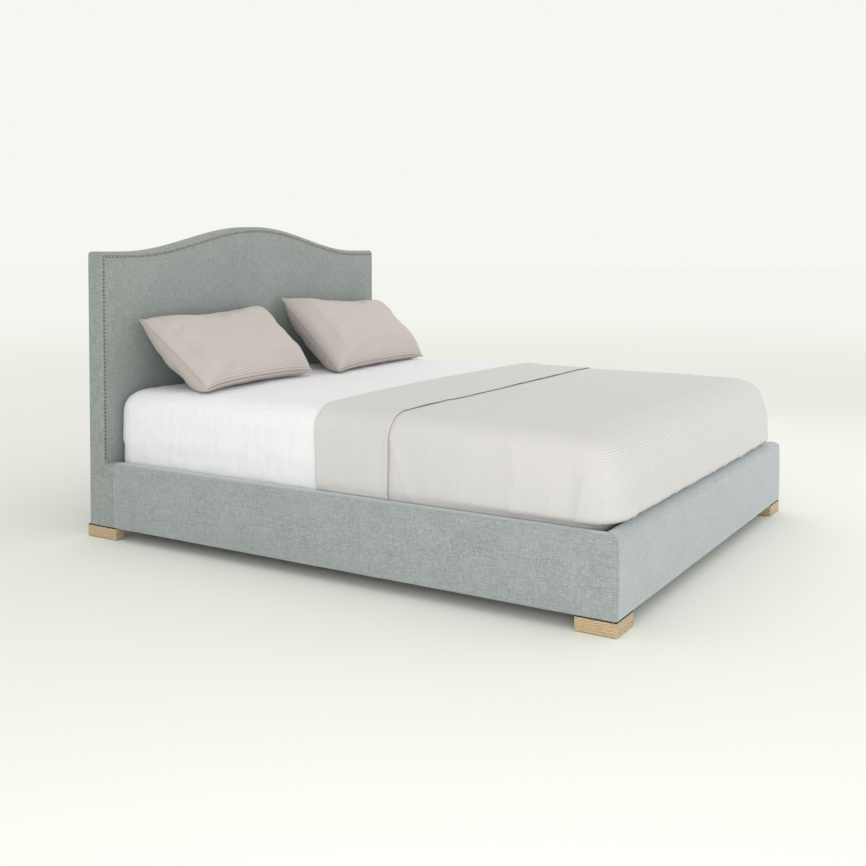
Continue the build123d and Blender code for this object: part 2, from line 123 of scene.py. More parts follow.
def new_material(name: str) -> tuple[Material, Tree]:
    """Makes an empty node material.

    Args:
        name: The material's name.

    Returns:
        The material and its cleared node tree.
    """
    material = bpy.data.materials.new(name)
    material.use_nodes = True
    material.node_tree.nodes.clear()
    return material, material.node_tree


def surface(tree: Tree, colour: Socket, bump: Socket = None, **constants: Any) -> None:
    """Ends a material in one Principled shader.

    Args:
        tree: The material's node tree.
        colour: Linear colour or the socket that gives it.
        bump: Socket of the bumped normal, if the surface has relief.
        **constants: Shader inputs by name, with spaces as underscores.
    """
    inputs: dict[Any, Any] = {"Base Color": colour}
    inputs.update({key.replace("_", " "): value for key, value in constants.items()})
    if bump is not None:
        inputs["Normal"] = bump
    shader = add(tree, "BsdfPrincipled", inputs)
    add(tree, "OutputMaterial", {"Surface": shader.outputs["BSDF"]})


def blend(tree: Tree, amount: Socket, first: Socket, second: Socket) -> Socket:
    """Mixes two colours.

    Args:
        tree: The material's node tree.
        amount: Share of the second colour, a number or a socket.
        first: The first colour or its socket.
        second: The second colour or its socket.

    Returns:
        The socket of the mixed colour.
    """
    return add(tree, "Mix", {0: amount, 6: first, 7: second}, data_type="RGBA").outputs[2]


def level(
    tree: Tree, value: Socket, low: float, high: float, to: tuple[float, float] = (0.0, 1.0)
) -> Socket:
    """Stretches a value from one range to another, held at its ends.

    Args:
        tree: The material's node tree.
        value: The socket to read.
        low: The value that gives the first end.
        high: The value that gives the second end.
        to: The two ends.

    Returns:
        The socket of the stretched value.
    """
    inputs = {"Value": value, "From Min": low, "From Max": high, "To Min": to[0], "To Max": to[1]}
    return add(tree, "MapRange", inputs).outputs["Result"]


def total(tree: Tree, parts: Sequence[tuple[Socket, float]]) -> Socket:
    """Adds up sockets by their weights.

    Args:
        tree: The material's node tree.
        parts: Sockets with their weights.

    Returns:
        The socket of the sum.
    """
    running: Socket = 0.0
    for socket, weight in parts:
        inputs = {0: socket, 1: weight, 2: running}
        running = add(tree, "Math", inputs, operation="MULTIPLY_ADD").outputs[0]
    return running


def relief(tree: Tree, height: Socket, depth: float, strength: float = 1.0) -> Socket:
    """Turns a height into a bumped normal.

    Args:
        tree: The material's node tree.
        height: The socket of the height, from 0 to 1.
        depth: The relief's depth in metres.
        strength: How much of it is used.

    Returns:
        The socket of the normal.
    """
    inputs = {"Height": height, "Distance": depth, "Strength": strength}
    return add(tree, "Bump", inputs).outputs["Normal"]


def speckle(tree: Tree, vector: Socket, grain: Sequence[float], detail: float = 2.0) -> Socket:
    """Noise whose grains have a real size along each axis.

    Args:
        tree: The material's node tree.
        vector: The socket of the coordinates, in metres.
        grain: Size of a grain along x, y and z, in metres.
        detail: Octaves of finer noise.

    Returns:
        The socket of the noise, from 0 to 1.
    """
    inputs = {"Vector": vector, "Scale": tuple(1 / g for g in grain)}
    mapped = add(tree, "Mapping", inputs).outputs["Vector"]
    return add(tree, "TexNoise", {"Vector": mapped, "Scale": 1.0, "Detail": detail}).outputs["Fac"]


def ribs(tree: Tree, vector: Socket, pitch: float, axis: str, distortion: float = 0.0) -> Socket:
    """Parallel ribs at a real pitch.

    Args:
        tree: The material's node tree.
        vector: The socket of the coordinates, in metres.
        pitch: Distance from rib to rib, in metres.
        axis: The axis that the ribs follow each other along, X, Y or Z.
        distortion: How far they wander.

    Returns:
        The socket of the ribs' height, from 0 to 1.
    """
    inputs = {
        "Vector": vector,
        "Scale": math.pi / 10 / pitch,
        "Distortion": distortion,
        "Detail": 1.0,
        "Detail Scale": 1.5,
    }
    return add(tree, "TexWave", inputs, wave_type="BANDS", bands_direction=axis).outputs["Fac"]


# --------------------------------------------------------------------- finishes


@dataclass(frozen=True)
class Finish:
    """A finish: a material's name and the nodes that draw it."""

    name: str

    def make(self) -> Material:
        """Returns the finish's node material."""
        material, tree = new_material(self.name)
        self.paint(tree, add(tree, "TexCoord").outputs["Object"])
        return material

    def paint(self, tree: Tree, where: Socket) -> None:
        """Adds the finish's nodes to its material.

        Args:
            tree: The material's empty node tree.
            where: Place on the piece, in metres.
        """
        raise NotImplementedError


@dataclass(frozen=True)
class WovenLinen(Finish):
    """Upholstery linen woven from mixed yarns: matt, mottled, with thick slubs both ways."""

    ground: str = "#9a9e9e"
    pale: str = "#b9bdbd"
    deep: str = "#7b8384"
    yarn: float = 2.8 * MM  # real yarns are 1 mm, too fine to show, so they are drawn coarser
    slub: float = 30 * MM
    patch: float = 160 * MM
    down: str = "#e4e9ef"
    nap: float = 0.9

    def paint(self, tree: Tree, where: Socket) -> None:
        """Weaves the linen from thick and thin yarns both ways."""
        upright = speckle(tree, where, (self.yarn, self.yarn, self.slub), 1.5)
        level_yarn = speckle(tree, where, (self.slub, self.slub, self.yarn), 1.5)
        fleck = speckle(tree, where, (self.yarn * 1.15,) * 3, 2.5)
        patch = speckle(tree, where, (self.patch,) * 3, 3.0)
        dark = total(tree, [(upright, 0.5), (level_yarn, 0.5)])
        tone = blend(tree, level(tree, dark, 0.36, 0.66), linear(self.deep), linear(self.ground))
        tone = blend(tree, level(tree, fleck, 0.5, 0.74, (0.0, 0.85)), tone, linear(self.pale))
        tone = blend(tree, level(tree, patch, 0.3, 0.75, (0.0, 0.16)), tone, linear(self.pale))
        height = total(tree, [(upright, 0.4), (level_yarn, 0.4), (fleck, 0.5)])
        normal = relief(tree, height, 0.9 * MM, 0.8)
        surface(
            tree,
            tone,
            normal,
            Roughness=0.93,
            Sheen_Weight=self.nap,
            Sheen_Roughness=0.45,
            Sheen_Tint=linear(self.down),
            Specular_IOR_Level=0.25,
        )


@dataclass(frozen=True)
class CottonPercale(Finish):
    """Plain-woven cotton sheeting, washed and not ironed: matt white with fine crinkles, painted
    darker in their hollows as shade.
    """

    white: str = "#e9e8ec"
    # bluish colour of the painted shade in the crinkles' hollows
    shade: str = "#e0dfe5"
    thread: float = 1.6 * MM  # real threads are 0.3 mm, drawn coarser so that they show
    crinkle: float = 14 * MM

    def paint(self, tree: Tree, where: Socket) -> None:
        """Weaves the sheeting and crinkles it, with painted shade in the crinkles' hollows and
        painted lighter crests.
        """
        weave = speckle(tree, where, (self.thread,) * 3, 1.0)
        upright = speckle(tree, where, (self.crinkle, self.crinkle, self.crinkle * 5), 3.0)
        loose = speckle(tree, where, (self.crinkle * 2.2,) * 3, 4.0)
        # Painted shade: where the tall crinkles sink, the colour turns to the shade colour; where
        # the loose crinkles rise, it is painted whiter.
        tone = blend(tree, level(tree, upright, 0.25, 0.6), linear(self.shade), linear(self.white))
        tone = blend(tree, level(tree, loose, 0.3, 0.7, (0.0, 0.5)), tone, linear(self.white))
        height = total(tree, [(upright, 0.3), (loose, 1.1), (weave, 0.06)])
        normal = relief(tree, height, 2.0 * MM, 0.2)
        surface(tree, tone, normal, Roughness=0.85, Sheen_Weight=0.1, Specular_IOR_Level=0.3)


@dataclass(frozen=True)
class RibbedCotton(Finish):
    """Cotton woven with raised ribs, soft and matt, with painted shade in the grooves between them.
    """

    crest: str
    # colour of the painted shade in the grooves, also used for the broad random mottling
    groove: str
    pitch: float = 7.5 * MM
    depth: float = 1.3 * MM
    thread: float = 1.8 * MM  # real threads are 0.4 mm, drawn coarser so that they show
    stitched: float | None = None  # place of a stitched line across the cloth
    stitch: float = 3 * MM

    def paint(self, tree: Tree, where: Socket) -> None:
        """Weaves the ribs along the cloth, with a stitched line if it has one; the grooves and the
        stitched line get painted shade.
        """
        where = add(tree, "UVMap", uv_map=CLOTH_UV).outputs["UV"]
        rib = ribs(tree, where, self.pitch, "Y", 0.35)
        thread = speckle(tree, where, (self.thread * 2.5, self.thread, self.thread), 2.0)
        broad = speckle(tree, where, (90 * MM, 60 * MM, 60 * MM), 3.0)
        crest = level(tree, total(tree, [(rib, 0.75), (thread, 0.4)]), 0.25, 0.85)
        # Painted shade: the low parts of the ribs take the groove colour, their tops the crest
        # colour.
        tone = blend(tree, crest, linear(self.groove), linear(self.crest))
        tone = blend(tree, level(tree, broad, 0.3, 0.75, (0.0, 0.22)), tone, linear(self.groove))
        height = total(tree, [(rib, 0.8), (thread, 0.2)])
        if self.stitched is not None:
            across = add(tree, "SeparateXYZ", {"Vector": where}).outputs["X"]
            off = add(tree, "Math", {0: across, 1: self.stitched}, operation="SUBTRACT").outputs[0]
            off = add(tree, "Math", {0: off}, operation="ABSOLUTE").outputs[0]
            near = level(tree, off, 0.0, self.stitch, (1.0, 0.0))
            # Painted shade in the sunk stitched line.
            tone = blend(tree, level(tree, near, 0.0, 1.0, (0.0, 0.45)), tone, linear(self.groove))
            height = total(tree, [(height, 1.0), (near, -1.6)])
        normal = relief(tree, height, self.depth, 0.6)
        surface(
            tree,
            tone,
            normal,
            Roughness=0.9,
            Sheen_Weight=0.15,
            Sheen_Roughness=0.4,
            Specular_IOR_Level=0.25,
        )


@dataclass(frozen=True)
class SawnWood(Finish):
    """Planed timber with an oil or bare finish: long grain, growth rings and small pores."""

    light: str
    dark: str
    ring: float
    roughness: float
    coat: float = 0.0

    def paint(self, tree: Tree, where: Socket) -> None:
        """Draws the timber's grain along x, its rings and its pores."""
        figure = speckle(tree, where, (0.35, self.ring, self.ring), 4.0)
        pores = speckle(tree, where, (0.02, 0.9 * MM, 0.9 * MM), 2.0)
        bands = ribs(tree, where, self.ring * 1.7, "Z", 6.0)
        mark = level(tree, total(tree, [(figure, 0.6), (bands, 0.25), (pores, 0.25)]), 0.35, 0.8)
        tone = blend(tree, mark, linear(self.light), linear(self.dark))
        normal = relief(tree, total(tree, [(pores, 0.7), (figure, 0.3)]), 0.35 * MM, 0.5)
        surface(
            tree,
            tone,
            normal,
            Roughness=self.roughness,
            Coat_Weight=self.coat,
            Coat_Roughness=0.35,
        )


@dataclass(frozen=True)
class PlatedMetal(Finish):
    """Plated or coated metal part: an even film with light wear and small dents."""

    bright: str
    dull: str
    metallic: float
    roughness: float
    grain: float = 3 * MM

    def paint(self, tree: Tree, where: Socket) -> None:
        """Draws the film, where it is worn and where it is dull."""
        wear = speckle(tree, where, (self.grain,) * 3, 4.0)
        fine = speckle(tree, where, (self.grain * 0.2,) * 3, 2.0)
        tone = blend(tree, level(tree, wear, 0.35, 0.7), linear(self.dull), linear(self.bright))
        rough = level(tree, wear, 0.3, 0.7, (self.roughness + 0.12, self.roughness - 0.05))
        normal = relief(tree, fine, 0.08 * MM, 0.4)
        surface(tree, tone, normal, Metallic=self.metallic, Roughness=rough)


@dataclass(frozen=True)
class PressedStuff(Finish):
    """A dull pressed, foamed or moulded material: even colour with its own fine grit."""

    light: str
    dark: str
    grit: float
    roughness: float
    depth: float = 0.3 * MM
    sheen: float = 0.0

    def paint(self, tree: Tree, where: Socket) -> None:
        """Draws the grit and a broad, faint change of tone."""
        grit = speckle(tree, where, (self.grit,) * 3, 4.0)
        broad = speckle(tree, where, (self.grit * 22,) * 3, 2.0)
        mark = level(tree, total(tree, [(grit, 0.7), (broad, 0.3)]), 0.3, 0.7)
        tone = blend(tree, mark, linear(self.dark), linear(self.light))
        normal = relief(tree, grit, self.depth, 0.6)
        surface(tree, tone, normal, Roughness=self.roughness, Sheen_Weight=self.sheen)


LINEN = WovenLinen("Linen_melange_woven")
# Painted shade: the same linen as the rails, painted darker and given less sheen, for the headboard
# and the cheeks at the head end.
HEAD_END_SHADED_LINEN = WovenLinen(
    "Linen_melange_napped_down", ground="#979d9b", pale="#b2b7b6", deep="#7a817d", nap=0.15
)
PERCALE = CottonPercale("Cotton_percale_washed")
# Each groove colour below is painted shade in the hollows between the ribs.
SPREAD_COTTON = RibbedCotton(
    "Cotton_rib_light_grey", crest="#d2cfce", groove="#c5c2c1", pitch=6.5 * MM, depth=0.55 * MM
)
PILLOW_COTTON = RibbedCotton(
    "Cotton_rib_taupe",
    crest="#cdc4c0",
    groove="#b6ada9",
    pitch=8 * MM,
    depth=1.0 * MM,
    stitched=-345 * MM,
)
OAK = SawnWood("Oak_oiled", "#c6b18e", "#98805d", ring=5 * MM, roughness=0.5, coat=0.12)
BIRCH = SawnWood("Birch_laminated", "#dcc49c", "#c2a273", ring=4 * MM, roughness=0.55)
PINE = SawnWood("Pine_planed", "#dfc08c", "#b98d55", ring=9 * MM, roughness=0.65)
ANTIQUE_BRASS = PlatedMetal("Brass_antiqued", "#b09a78", "#4e4032", metallic=0.9, roughness=0.3)
ZINC = PlatedMetal("Steel_zinc_plated", "#c9ccd0", "#9da0a6", metallic=1.0, roughness=0.35)
POWDER_COAT = PlatedMetal(
    "Steel_powder_coated_black", "#2b2c2e", "#232426", metallic=0.0, roughness=0.45
)
NYLON = PressedStuff("Nylon_moulded_black", "#2c2c2e", "#222224", 0.8 * MM, roughness=0.5)
# Partly painted shadow: the foot plates are black both as a dark plate and as the shadow in the gap
# between the rails and the feet.
BLACK_PLATE_AND_GAP_SHADOW = PressedStuff("Black_plate_and_gap_shadow", "#242424", "#161616", 1 * MM, roughness=0.8)
FELT = PressedStuff("Wool_felt_grey", "#8b8a86", "#6a6966", 1.2 * MM, roughness=0.95, sheen=0.3)
FIBREBOARD = PressedStuff("Particleboard", "#cfb38a", "#a5855c", 3 * MM, roughness=0.8)
TICKING = PressedStuff(
    "Cotton_ticking", "#e6e4df", "#d3d0ca", 2.2 * MM, roughness=0.9, depth=0.8 * MM
)
LINING = PressedStuff("Polyester_lining_spunbond", "#4a4b4c", "#38393b", 2.0 * MM, roughness=0.95)


# --------------------------------------------------------------- mesh helpers


def spread(low: float, high: float, step: float) -> list[float]:
    """Gives even places between two ends.

    Args:
        low: The first place.
        high: The last place.
        step: The most that two places are apart.

    Returns:
        The places, both ends included.
    """
    count = max(1, math.ceil(abs(high - low) / step - 1e-6))
    return [low + (high - low) * i / count for i in range(count + 1)]


def fine_ended(low: float, high: float, step: float, fine: Sequence[float]) -> list[float]:
    """Gives places that crowd towards both ends.

    Args:
        low: The first place.
        high: The last place.
        step: The most that two places are apart in between.
        fine: Distances from an end at which the crowded places are, from 0 up.

    Returns:
        The places in rising order.
    """
    return (
        [low + f for f in fine]
        + spread(low + fine[-1], high - fine[-1], step)[1:-1]
        + [high - f for f in reversed(fine)]
    )


def hanging(low: float, high: float, step: float, over: Sequence[float]) -> list[float]:
    """Gives places across a flat top and down over both its edges.

    Args:
        low: Where the top ends on one side.
        high: Where it ends on the other.
        step: The most that two places on the top are apart.
        over: Lengths of cloth beyond each end, from 0 up.

    Returns:
        The places in rising order.
    """
    top = spread(low, high, step)[1:-1]
    return [low - r for r in reversed(over)] + top + [high + r for r in over]


def ease(value: float, low: float, high: float) -> float:
    """Rises smoothly from 0 at low to 1 at high."""
    part = min(1.0, max(0.0, (value - low) / (high - low)))
    return part * part * (3 - 2 * part)


def bell(distance: float, width: float) -> float:
    """Falls smoothly from 1 at no distance to nothing a few widths away."""
    return math.exp(-((distance / width) ** 2))


def ripple(x: float, y: float, z: float = 0.0) -> float:
    """Smooth, repeatable noise of about -1 to 1, one lump per unit."""
    return noise.noise(Vector((x, y, z)))


def crease(x: float, y: float, z: float = 0.0, sharp: float = 5.0) -> float:
    """Gives narrow, wandering folds.

    Args:
        x: First coordinate, one fold or so per unit.
        y: Second coordinate.
        z: Third coordinate, to pick another pattern.
        sharp: How narrow the folds are.

    Returns:
        From 0 between folds to 1 on their crests.
    """
    return max(0.0, 1 - abs(ripple(x, y, z))) ** sharp


def mapped_grid(us: Sequence[float], vs: Sequence[float], place: Place) -> BMesh:
    """Moves a flat grid's points to where a rule puts them; its UV map keeps the flat places.

    Args:
        us: Flat places of the columns.
        vs: Flat places of the rows.
        place: Gives the point in space for a column's and a row's place.

    Returns:
        The bmesh, open at its four sides.
    """
    bm = bmesh.new()
    columns, rows = len(us) - 1, len(vs) - 1
    bmesh.ops.create_grid(bm, x_segments=columns, y_segments=rows, size=0.5)
    flat: dict[bmesh.types.BMVert, tuple[float, float]] = {}
    for vert in bm.verts:
        column, row = round((vert.co.x + 0.5) * columns), round((vert.co.y + 0.5) * rows)
        flat[vert] = us[column], vs[row]
    layer = bm.loops.layers.uv.new(CLOTH_UV)
    for face in bm.faces:
        for loop in face.loops:
            loop[layer].uv = flat[loop.vert]
    for vert, (u, v) in flat.items():
        vert.co = place(u, v)
    return bm


def close_up(bm: BMesh) -> None:
    """Welds a grid where it meets itself, fills its open ends and turns its faces outwards."""
    bmesh.ops.remove_doubles(bm, verts=bm.verts, dist=1e-5)
    bmesh.ops.holes_fill(bm, edges=[e for e in bm.edges if e.is_boundary], sides=0)
    bmesh.ops.recalc_face_normals(bm, faces=bm.faces)


def as_mesh(bm: BMesh, name: str) -> bpy.types.Mesh:
    """Turns a bmesh into a mesh, and frees it.

    Args:
        bm: The bmesh.
        name: The mesh's name.

    Returns:
        The new mesh.
    """
    mesh = bpy.data.meshes.new(name)
    bm.to_mesh(mesh)
    bm.free()
    return mesh


def make_piece(
    name: str,
    shape: BMesh | bpy.types.Mesh,
    finish: Finish,
    body: Body,
    replaced: Sequence[str] = (),
    sharp: float = 180.0,
) -> Object:
    """Makes a finished piece of the bed from a mesh.

    Args:
        name: The piece's name.
        shape: Its bmesh, which is freed, or its mesh.
        finish: The finish it is dressed in.
        body: The body it rides on.
        replaced: The CAD nodes that it stands for.
        sharp: Edges turning by more than this many degrees stay sharp.

    Returns:
        The new object.
    """
    mesh = as_mesh(shape, name) if isinstance(shape, BMesh) else shape
    mesh.shade_smooth()
    if sharp < 180:
        mesh.set_sharp_from_angle(angle=math.radians(sharp))
    piece = bpy.data.objects.new(name, mesh)
    bpy.context.scene.collection.objects.link(piece)
    mesh.materials.append(dressed(finish))
    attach(piece, body.value)
    if replaced:
        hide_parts(*replaced)
    LOG.info("%s: %d faces, on %s", name, len(mesh.polygons), body.value)
    return piece


def thicken(piece: Object, thickness: float, offset: float = 1.0) -> None:
    """Gives a cloth its thickness.

    Args:
        piece: The cloth, one surface.
        thickness: How thick it is, in metres.
        offset: 1 to grow outwards, -1 inwards.
    """
    wall = piece.modifiers.new("Cloth thickness", "SOLIDIFY")
    wall.thickness = thickness
    wall.offset = offset
    wall.use_even_offset = False


_made: dict[str, Material] = {}


def dressed(finish: Finish) -> Material:
    """Returns the finish's material, made the first time it is asked for."""
    if finish.name not in _made:
        _made[finish.name] = finish.make()
    return _made[finish.name]


# ------------------------------------------------------------------ headboard


@dataclass(frozen=True)
class Headboard:
    """The padded headboard: a flat front with a raised middle, rounded edges and nails round it."""

    half: float = 970 * MM
    bottom: float = 50 * MM
    shoulder: float = 1165 * MM
    rise: float = 114 * MM
    crown_half: float = 800 * MM
    front: float = 1056 * MM
    back: float = 1132.7 * MM
    edge: float = 13 * MM
    shoulder_round: float = 15 * MM
    corner: float = 6.0
    bulge: float = 3.0 * MM
    cell: float = 11 * MM
    lining_inset: float = 14 * MM
    lining_stand: float = 1.4 * MM
    lining_cloth: float = 0.5 * MM

    def top(self, x: float) -> float:
        """Height of the outline at x."""
        if abs(x) >= self.crown_half:
            return self.shoulder
        return self.shoulder + self.rise * (1 + math.cos(math.pi * x / self.crown_half)) / 2

    def round_shoulder(self, x: float, z: float) -> tuple[float, float]:
        """Draws a place near an upper corner in, so that the corner is round.

        Args:
            x: Place across.
            z: Height.

        Returns:
            The place after rounding.
        """
        over = abs(x) - self.half + self.shoulder_round
        high = z - self.shoulder + self.shoulder_round
        if over <= 0 or high <= 0:
            return x, z
        held = max(over, high) / math.hypot(over, high)
        inner_x, inner_z = self.half - self.shoulder_round, self.shoulder - self.shoulder_round
        return math.copysign(inner_x + over * held, x), inner_z + high * held

    def front_point(self, x: float, up: float) -> Point:
        """Puts a point of the flat cloth on the padded front.

        Args:
            x: Place across.
            up: Height above the bottom, on a board as high as its shoulders.

        Returns:
            The point in space.
        """
        top = self.top(x)
        z = self.bottom + up * (top - self.bottom) / (self.shoulder - self.bottom)
        in_side, in_top, in_end = self.half - abs(x), top - z, min(top - z, z - self.bottom)
        a, b = max(0.0, 1 - in_side / self.edge), max(0.0, 1 - in_end / self.edge)
        reach = max(a, b)
        fit = (a**self.corner + b**self.corner) ** (1 / self.corner) / reach if reach else 1.0
        across, along = a / fit, b / fit
        if a > 0:
            x = math.copysign(self.half - self.edge * (1 - across), x)
        if b > 0 and in_top <= in_end:
            z = top - self.edge * (1 - along)
        elif b > 0:
            z = self.bottom + self.edge * (1 - along)
        x, z = self.round_shoulder(x, z)
        rounding = self.edge * (1 - math.sqrt(max(0.0, 1 - reach * reach)))
        padding = self.bulge * ease(in_side, 0.013, 0.07) * ease(in_end, 0.021, 0.08)
        soft = 0.5 * MM * ripple(x * 5, z * 5) * ease(in_side, 0.02, 0.1) * ease(in_end, 0.03, 0.1)
        return x, self.front + rounding - padding + soft, z

    def make_cover(self) -> Object:
        """Returns the cover: the front, its sides drawn back, and a flat face filling it behind."""
        fine = [f * self.edge for f in (0.0, 0.04, 0.12, 0.26, 0.44, 0.68, 1.0, 1.4, 1.9)]
        columns = fine_ended(-self.half, self.half, self.cell, fine)
        rows = fine_ended(0.0, self.shoulder - self.bottom, self.cell, fine)
        bm = mapped_grid(columns, rows, self.front_point)
        depth = self.back - self.front - self.edge
        rim = [e for e in bm.edges if e.is_boundary]
        steps = 5
        for _ in range(steps):
            made = bmesh.ops.extrude_edge_only(bm, edges=rim)["geom"]
            moved = [g for g in made if isinstance(g, bmesh.types.BMVert)]
            bmesh.ops.translate(bm, verts=moved, vec=(0, depth / steps, 0))
            rim = [g for g in made if isinstance(g, bmesh.types.BMEdge) and g.is_boundary]
        close_up(bm)
        return make_piece(
            "headboard_upholstery",
            bm,
            # the linen painted darker as shade at the head end
            HEAD_END_SHADED_LINEN,
            Body.FRAME,
            ["headboard_cover", "headboard_foam"],
            sharp=50,
        )

    def make_back(self) -> None:
        """Staples the lining over the back, slightly slack."""
        inset = self.lining_inset
        height = self.shoulder - self.bottom - 2 * inset

        def hang(x: float, up: float) -> Point:
            """Puts a point of the lining on the back."""
            top = self.top(x) - inset
            low = self.bottom + inset
            z = low + up * (top - low) / height
            rim = min(self.half - inset - abs(x), top - z, z - low)
            slack = 1.1 * MM * ripple(x * 4, z * 4, 3) * ease(rim, 0.0, 0.08)
            gather = 0.35 * MM * math.sin(x * 2 * math.pi / 0.045) * bell(rim, 0.02)
            return x, self.back + self.lining_stand - slack * 0.5 - gather * 0.5, z

        columns = spread(inset - self.half, self.half - inset, self.cell)
        bm = mapped_grid(columns, spread(0.0, height, 16 * MM), hang)
        bmesh.ops.reverse_faces(bm, faces=bm.faces)
        nodes = ["headboard_back_cloth"]
        piece = make_piece("headboard_lining", bm, LINING, Body.FRAME, nodes)
        thicken(piece, self.lining_cloth, -1)

    def build(self) -> None:
        """Makes the headboard's pieces."""
        self.make_cover()
        self.make_back()


# ---------------------------------------------------------------------- rails


@dataclass(frozen=True)
class RimPoint:
    """A point of a rail's outline: distance in from its face, height, and the inward direction."""

    inset: float
    z: float
    inward: float
    upward: float


@dataclass(frozen=True)
class Rails:
    """The padded rails, mitred and seamed at the foot corners, and the cheeks by the headboard."""

    half: float = 970 * MM
    foot: float = -1150 * MM
    seam: float = 1003 * MM
    head: float = 1056 * MM
    back: float = 1132.7 * MM
    low: float = 50 * MM
    high: float = 308 * MM
    width: float = 62 * MM
    top_round: float = 20 * MM
    inner_round: float = 12 * MM
    low_round: float = 6 * MM
    corner: float = 14 * MM
    bulge: float = 3.2 * MM
    proud: float = 0.6 * MM
    cell: float = 13 * MM
    stride: float = 24 * MM

    @property
    def crowded(self) -> list[float]:
        """Distances from a seam at which the cloth's points are close together."""
        return [f * MM for f in (0, 0.6, 1.3, 2, 3, 4, 5.5, 7.5, 10, 13, 17, 22, 30)]

    def outline(self) -> list[RimPoint]:
        """Returns the rail's outline: bottom, outer face, top and inner face, closed on itself."""
        corners = [
            (self.width, self.low, self.low_round),
            (0.0, self.low, self.low_round),
            (0.0, self.high, self.top_round),
            (self.width, self.high, self.inner_round),
        ]
        points: list[RimPoint] = []
        bends = 7
        for k, (inset, z, radius) in enumerate(corners):
            last, following = corners[k - 1], corners[(k + 1) % len(corners)]
            came = Vector((inset - last[0], z - last[1])).normalized()
            goes = Vector((following[0] - inset, following[1] - z)).normalized()
            first_in, next_in = Vector((came.y, -came.x)), Vector((goes.y, -goes.x))
            centre = Vector((inset, z)) + (first_in + next_in) * radius
            for i in range(bends + 1):
                turn = math.pi / 2 * i / bends
                inward = first_in * math.cos(turn) + next_in * math.sin(turn)
                at = centre - inward * radius
                points.append(RimPoint(at.x, at.y, inward.x, inward.y))
            start = centre - next_in * radius
            end = Vector(following[:2]) - goes * following[2]
            for share in spread(0.0, 1.0, self.cell / (end - start).length)[1:-1]:
                at = start.lerp(end, share)
                points.append(RimPoint(at.x, at.y, next_in.x, next_in.y))
        return points + points[:1]

    def rounded(
        self, a: float, b: float, plain: tuple[float, float]
    ) -> tuple[float, float, float, float]:
        """Rounds the upright corner where two rails meet.

        Args:
            a: Distance in from the side face.
            b: Distance in from the foot face.
            plain: The outward direction away from the corner, as shares of a and b.

        Returns:
            The new a and b, and the outward direction as shares of a and b.
        """
        if a >= self.corner or b >= self.corner:
            return a, b, *plain
        da, db = self.corner - a, self.corner - b
        reach = math.hypot(da, db)
        held = min(1.0, self.corner / reach)
        return self.corner - da * held, self.corner - db * held, da / reach, db / reach

    def padding(self, rim: RimPoint, a: float, b: float) -> float:
        """How far the padding stands out of the flat section at a point.

        Args:
            rim: The point of the outline.
            a: Distance in from the side face.
            b: Distance in from the foot face.

        Returns:
            The distance outwards, in metres.
        """
        up = min(1.0, max(0.0, (rim.z - self.low) / (self.high - self.low)))
        swell = self.bulge * math.sin(math.pi * up) ** 0.7 * max(0.0, rim.inward)
        over = min(1.0, max(0.0, rim.inset / self.width))
        swell += 1.2 * MM * max(0.0, -rim.upward) * math.sin(math.pi * over)
        fade = ease(self.head - self.foot - b, 0.0, self.head - self.seam)
        soft = 0.6 * MM * ripple(a * 6, b * 6, rim.z * 6)
        return (swell + soft) * fade + self.proud

    def seam_depth(self, a: float, b: float) -> float:
        """Depth of the groove that a stitched seam draws at the mitre and at the cheek.

        Args:
            a: Distance in from the side face.
            b: Distance in from the foot face.

        Returns:
            The depth, below zero where the cloth rises beside the seam.
        """
        off = abs(a - b) / math.sqrt(2)
        mitre = 2.0 * MM * bell(off, 2.2 * MM) - 1.0 * MM * bell(off - 6 * MM, 3 * MM)
        near = abs(self.seam - self.foot - b)
        round_off = 4 * MM
        short = max(0.0, round_off - near)
        return mitre + (round_off - math.sqrt(round_off**2 - short**2)) * 0.8

    def skin_point(self, rim: RimPoint, a: float, b: float, plain: tuple[float, float]) -> Point:
        """Puts a point of a rail's section on its soft skin.

        Args:
            rim: The point of the outline.
            a: Distance in from the side face.
            b: Distance in from the foot face.
            plain: The outward direction away from the corner.

        Returns:
            The soft a and b, and the height.
        """
        out = self.padding(rim, a, b) - self.seam_depth(a, b)
        a2, b2, out_a, out_b = self.rounded(a, b, plain)
        side_on = out * rim.inward
        return a2 - side_on * out_a, b2 - side_on * out_b, rim.z - out * rim.upward

    def side_strip(
        self,
        name: str,
        side: Side,
        start: float,
        end: float,
        finish: Finish,
        replaced: Sequence[str],
    ) -> Object:
        """Makes a padded strip along one side.

        Args:
            name: The piece's name.
            side: Which side of the bed.
            start: Where it starts, in metres from the foot face; 0 stands for the mitre.
            end: Where it ends, in metres from the foot face.
            finish: Its cloth.
            replaced: The CAD nodes that it stands for.

        Returns:
            The strip.
        """
        rim = self.outline()
        columns = [float(i) for i in range(len(rim))]

        def put(u: float, v: float) -> Point:
            """Puts a point of the strip in space."""
            at = rim[round(u)]
            b = v if start > 0 else at.inset + v * (end - at.inset) / end
            a, b, z = self.skin_point(at, at.inset, b, (1.0, 0.0))
            return side.value * (self.half - a), self.foot + b, z

        bm = mapped_grid(columns, fine_ended(start, end, self.stride, self.crowded), put)
        close_up(bm)
        return make_piece(name, bm, finish, Body.FRAME, replaced, sharp=60)

    def foot_strip(self) -> Object:
        """Returns the padded strip across the foot, mitred at both ends."""
        rim = self.outline()

        def put(u: float, v: float) -> Point:
            """Puts a point of the strip in space."""
            at = rim[round(u)]
            x = v * (self.half - at.inset) / self.half
            a, b, z = self.skin_point(at, self.half - abs(x), at.inset, (0.0, 1.0))
            return math.copysign(self.half - a, x), self.foot + b, z

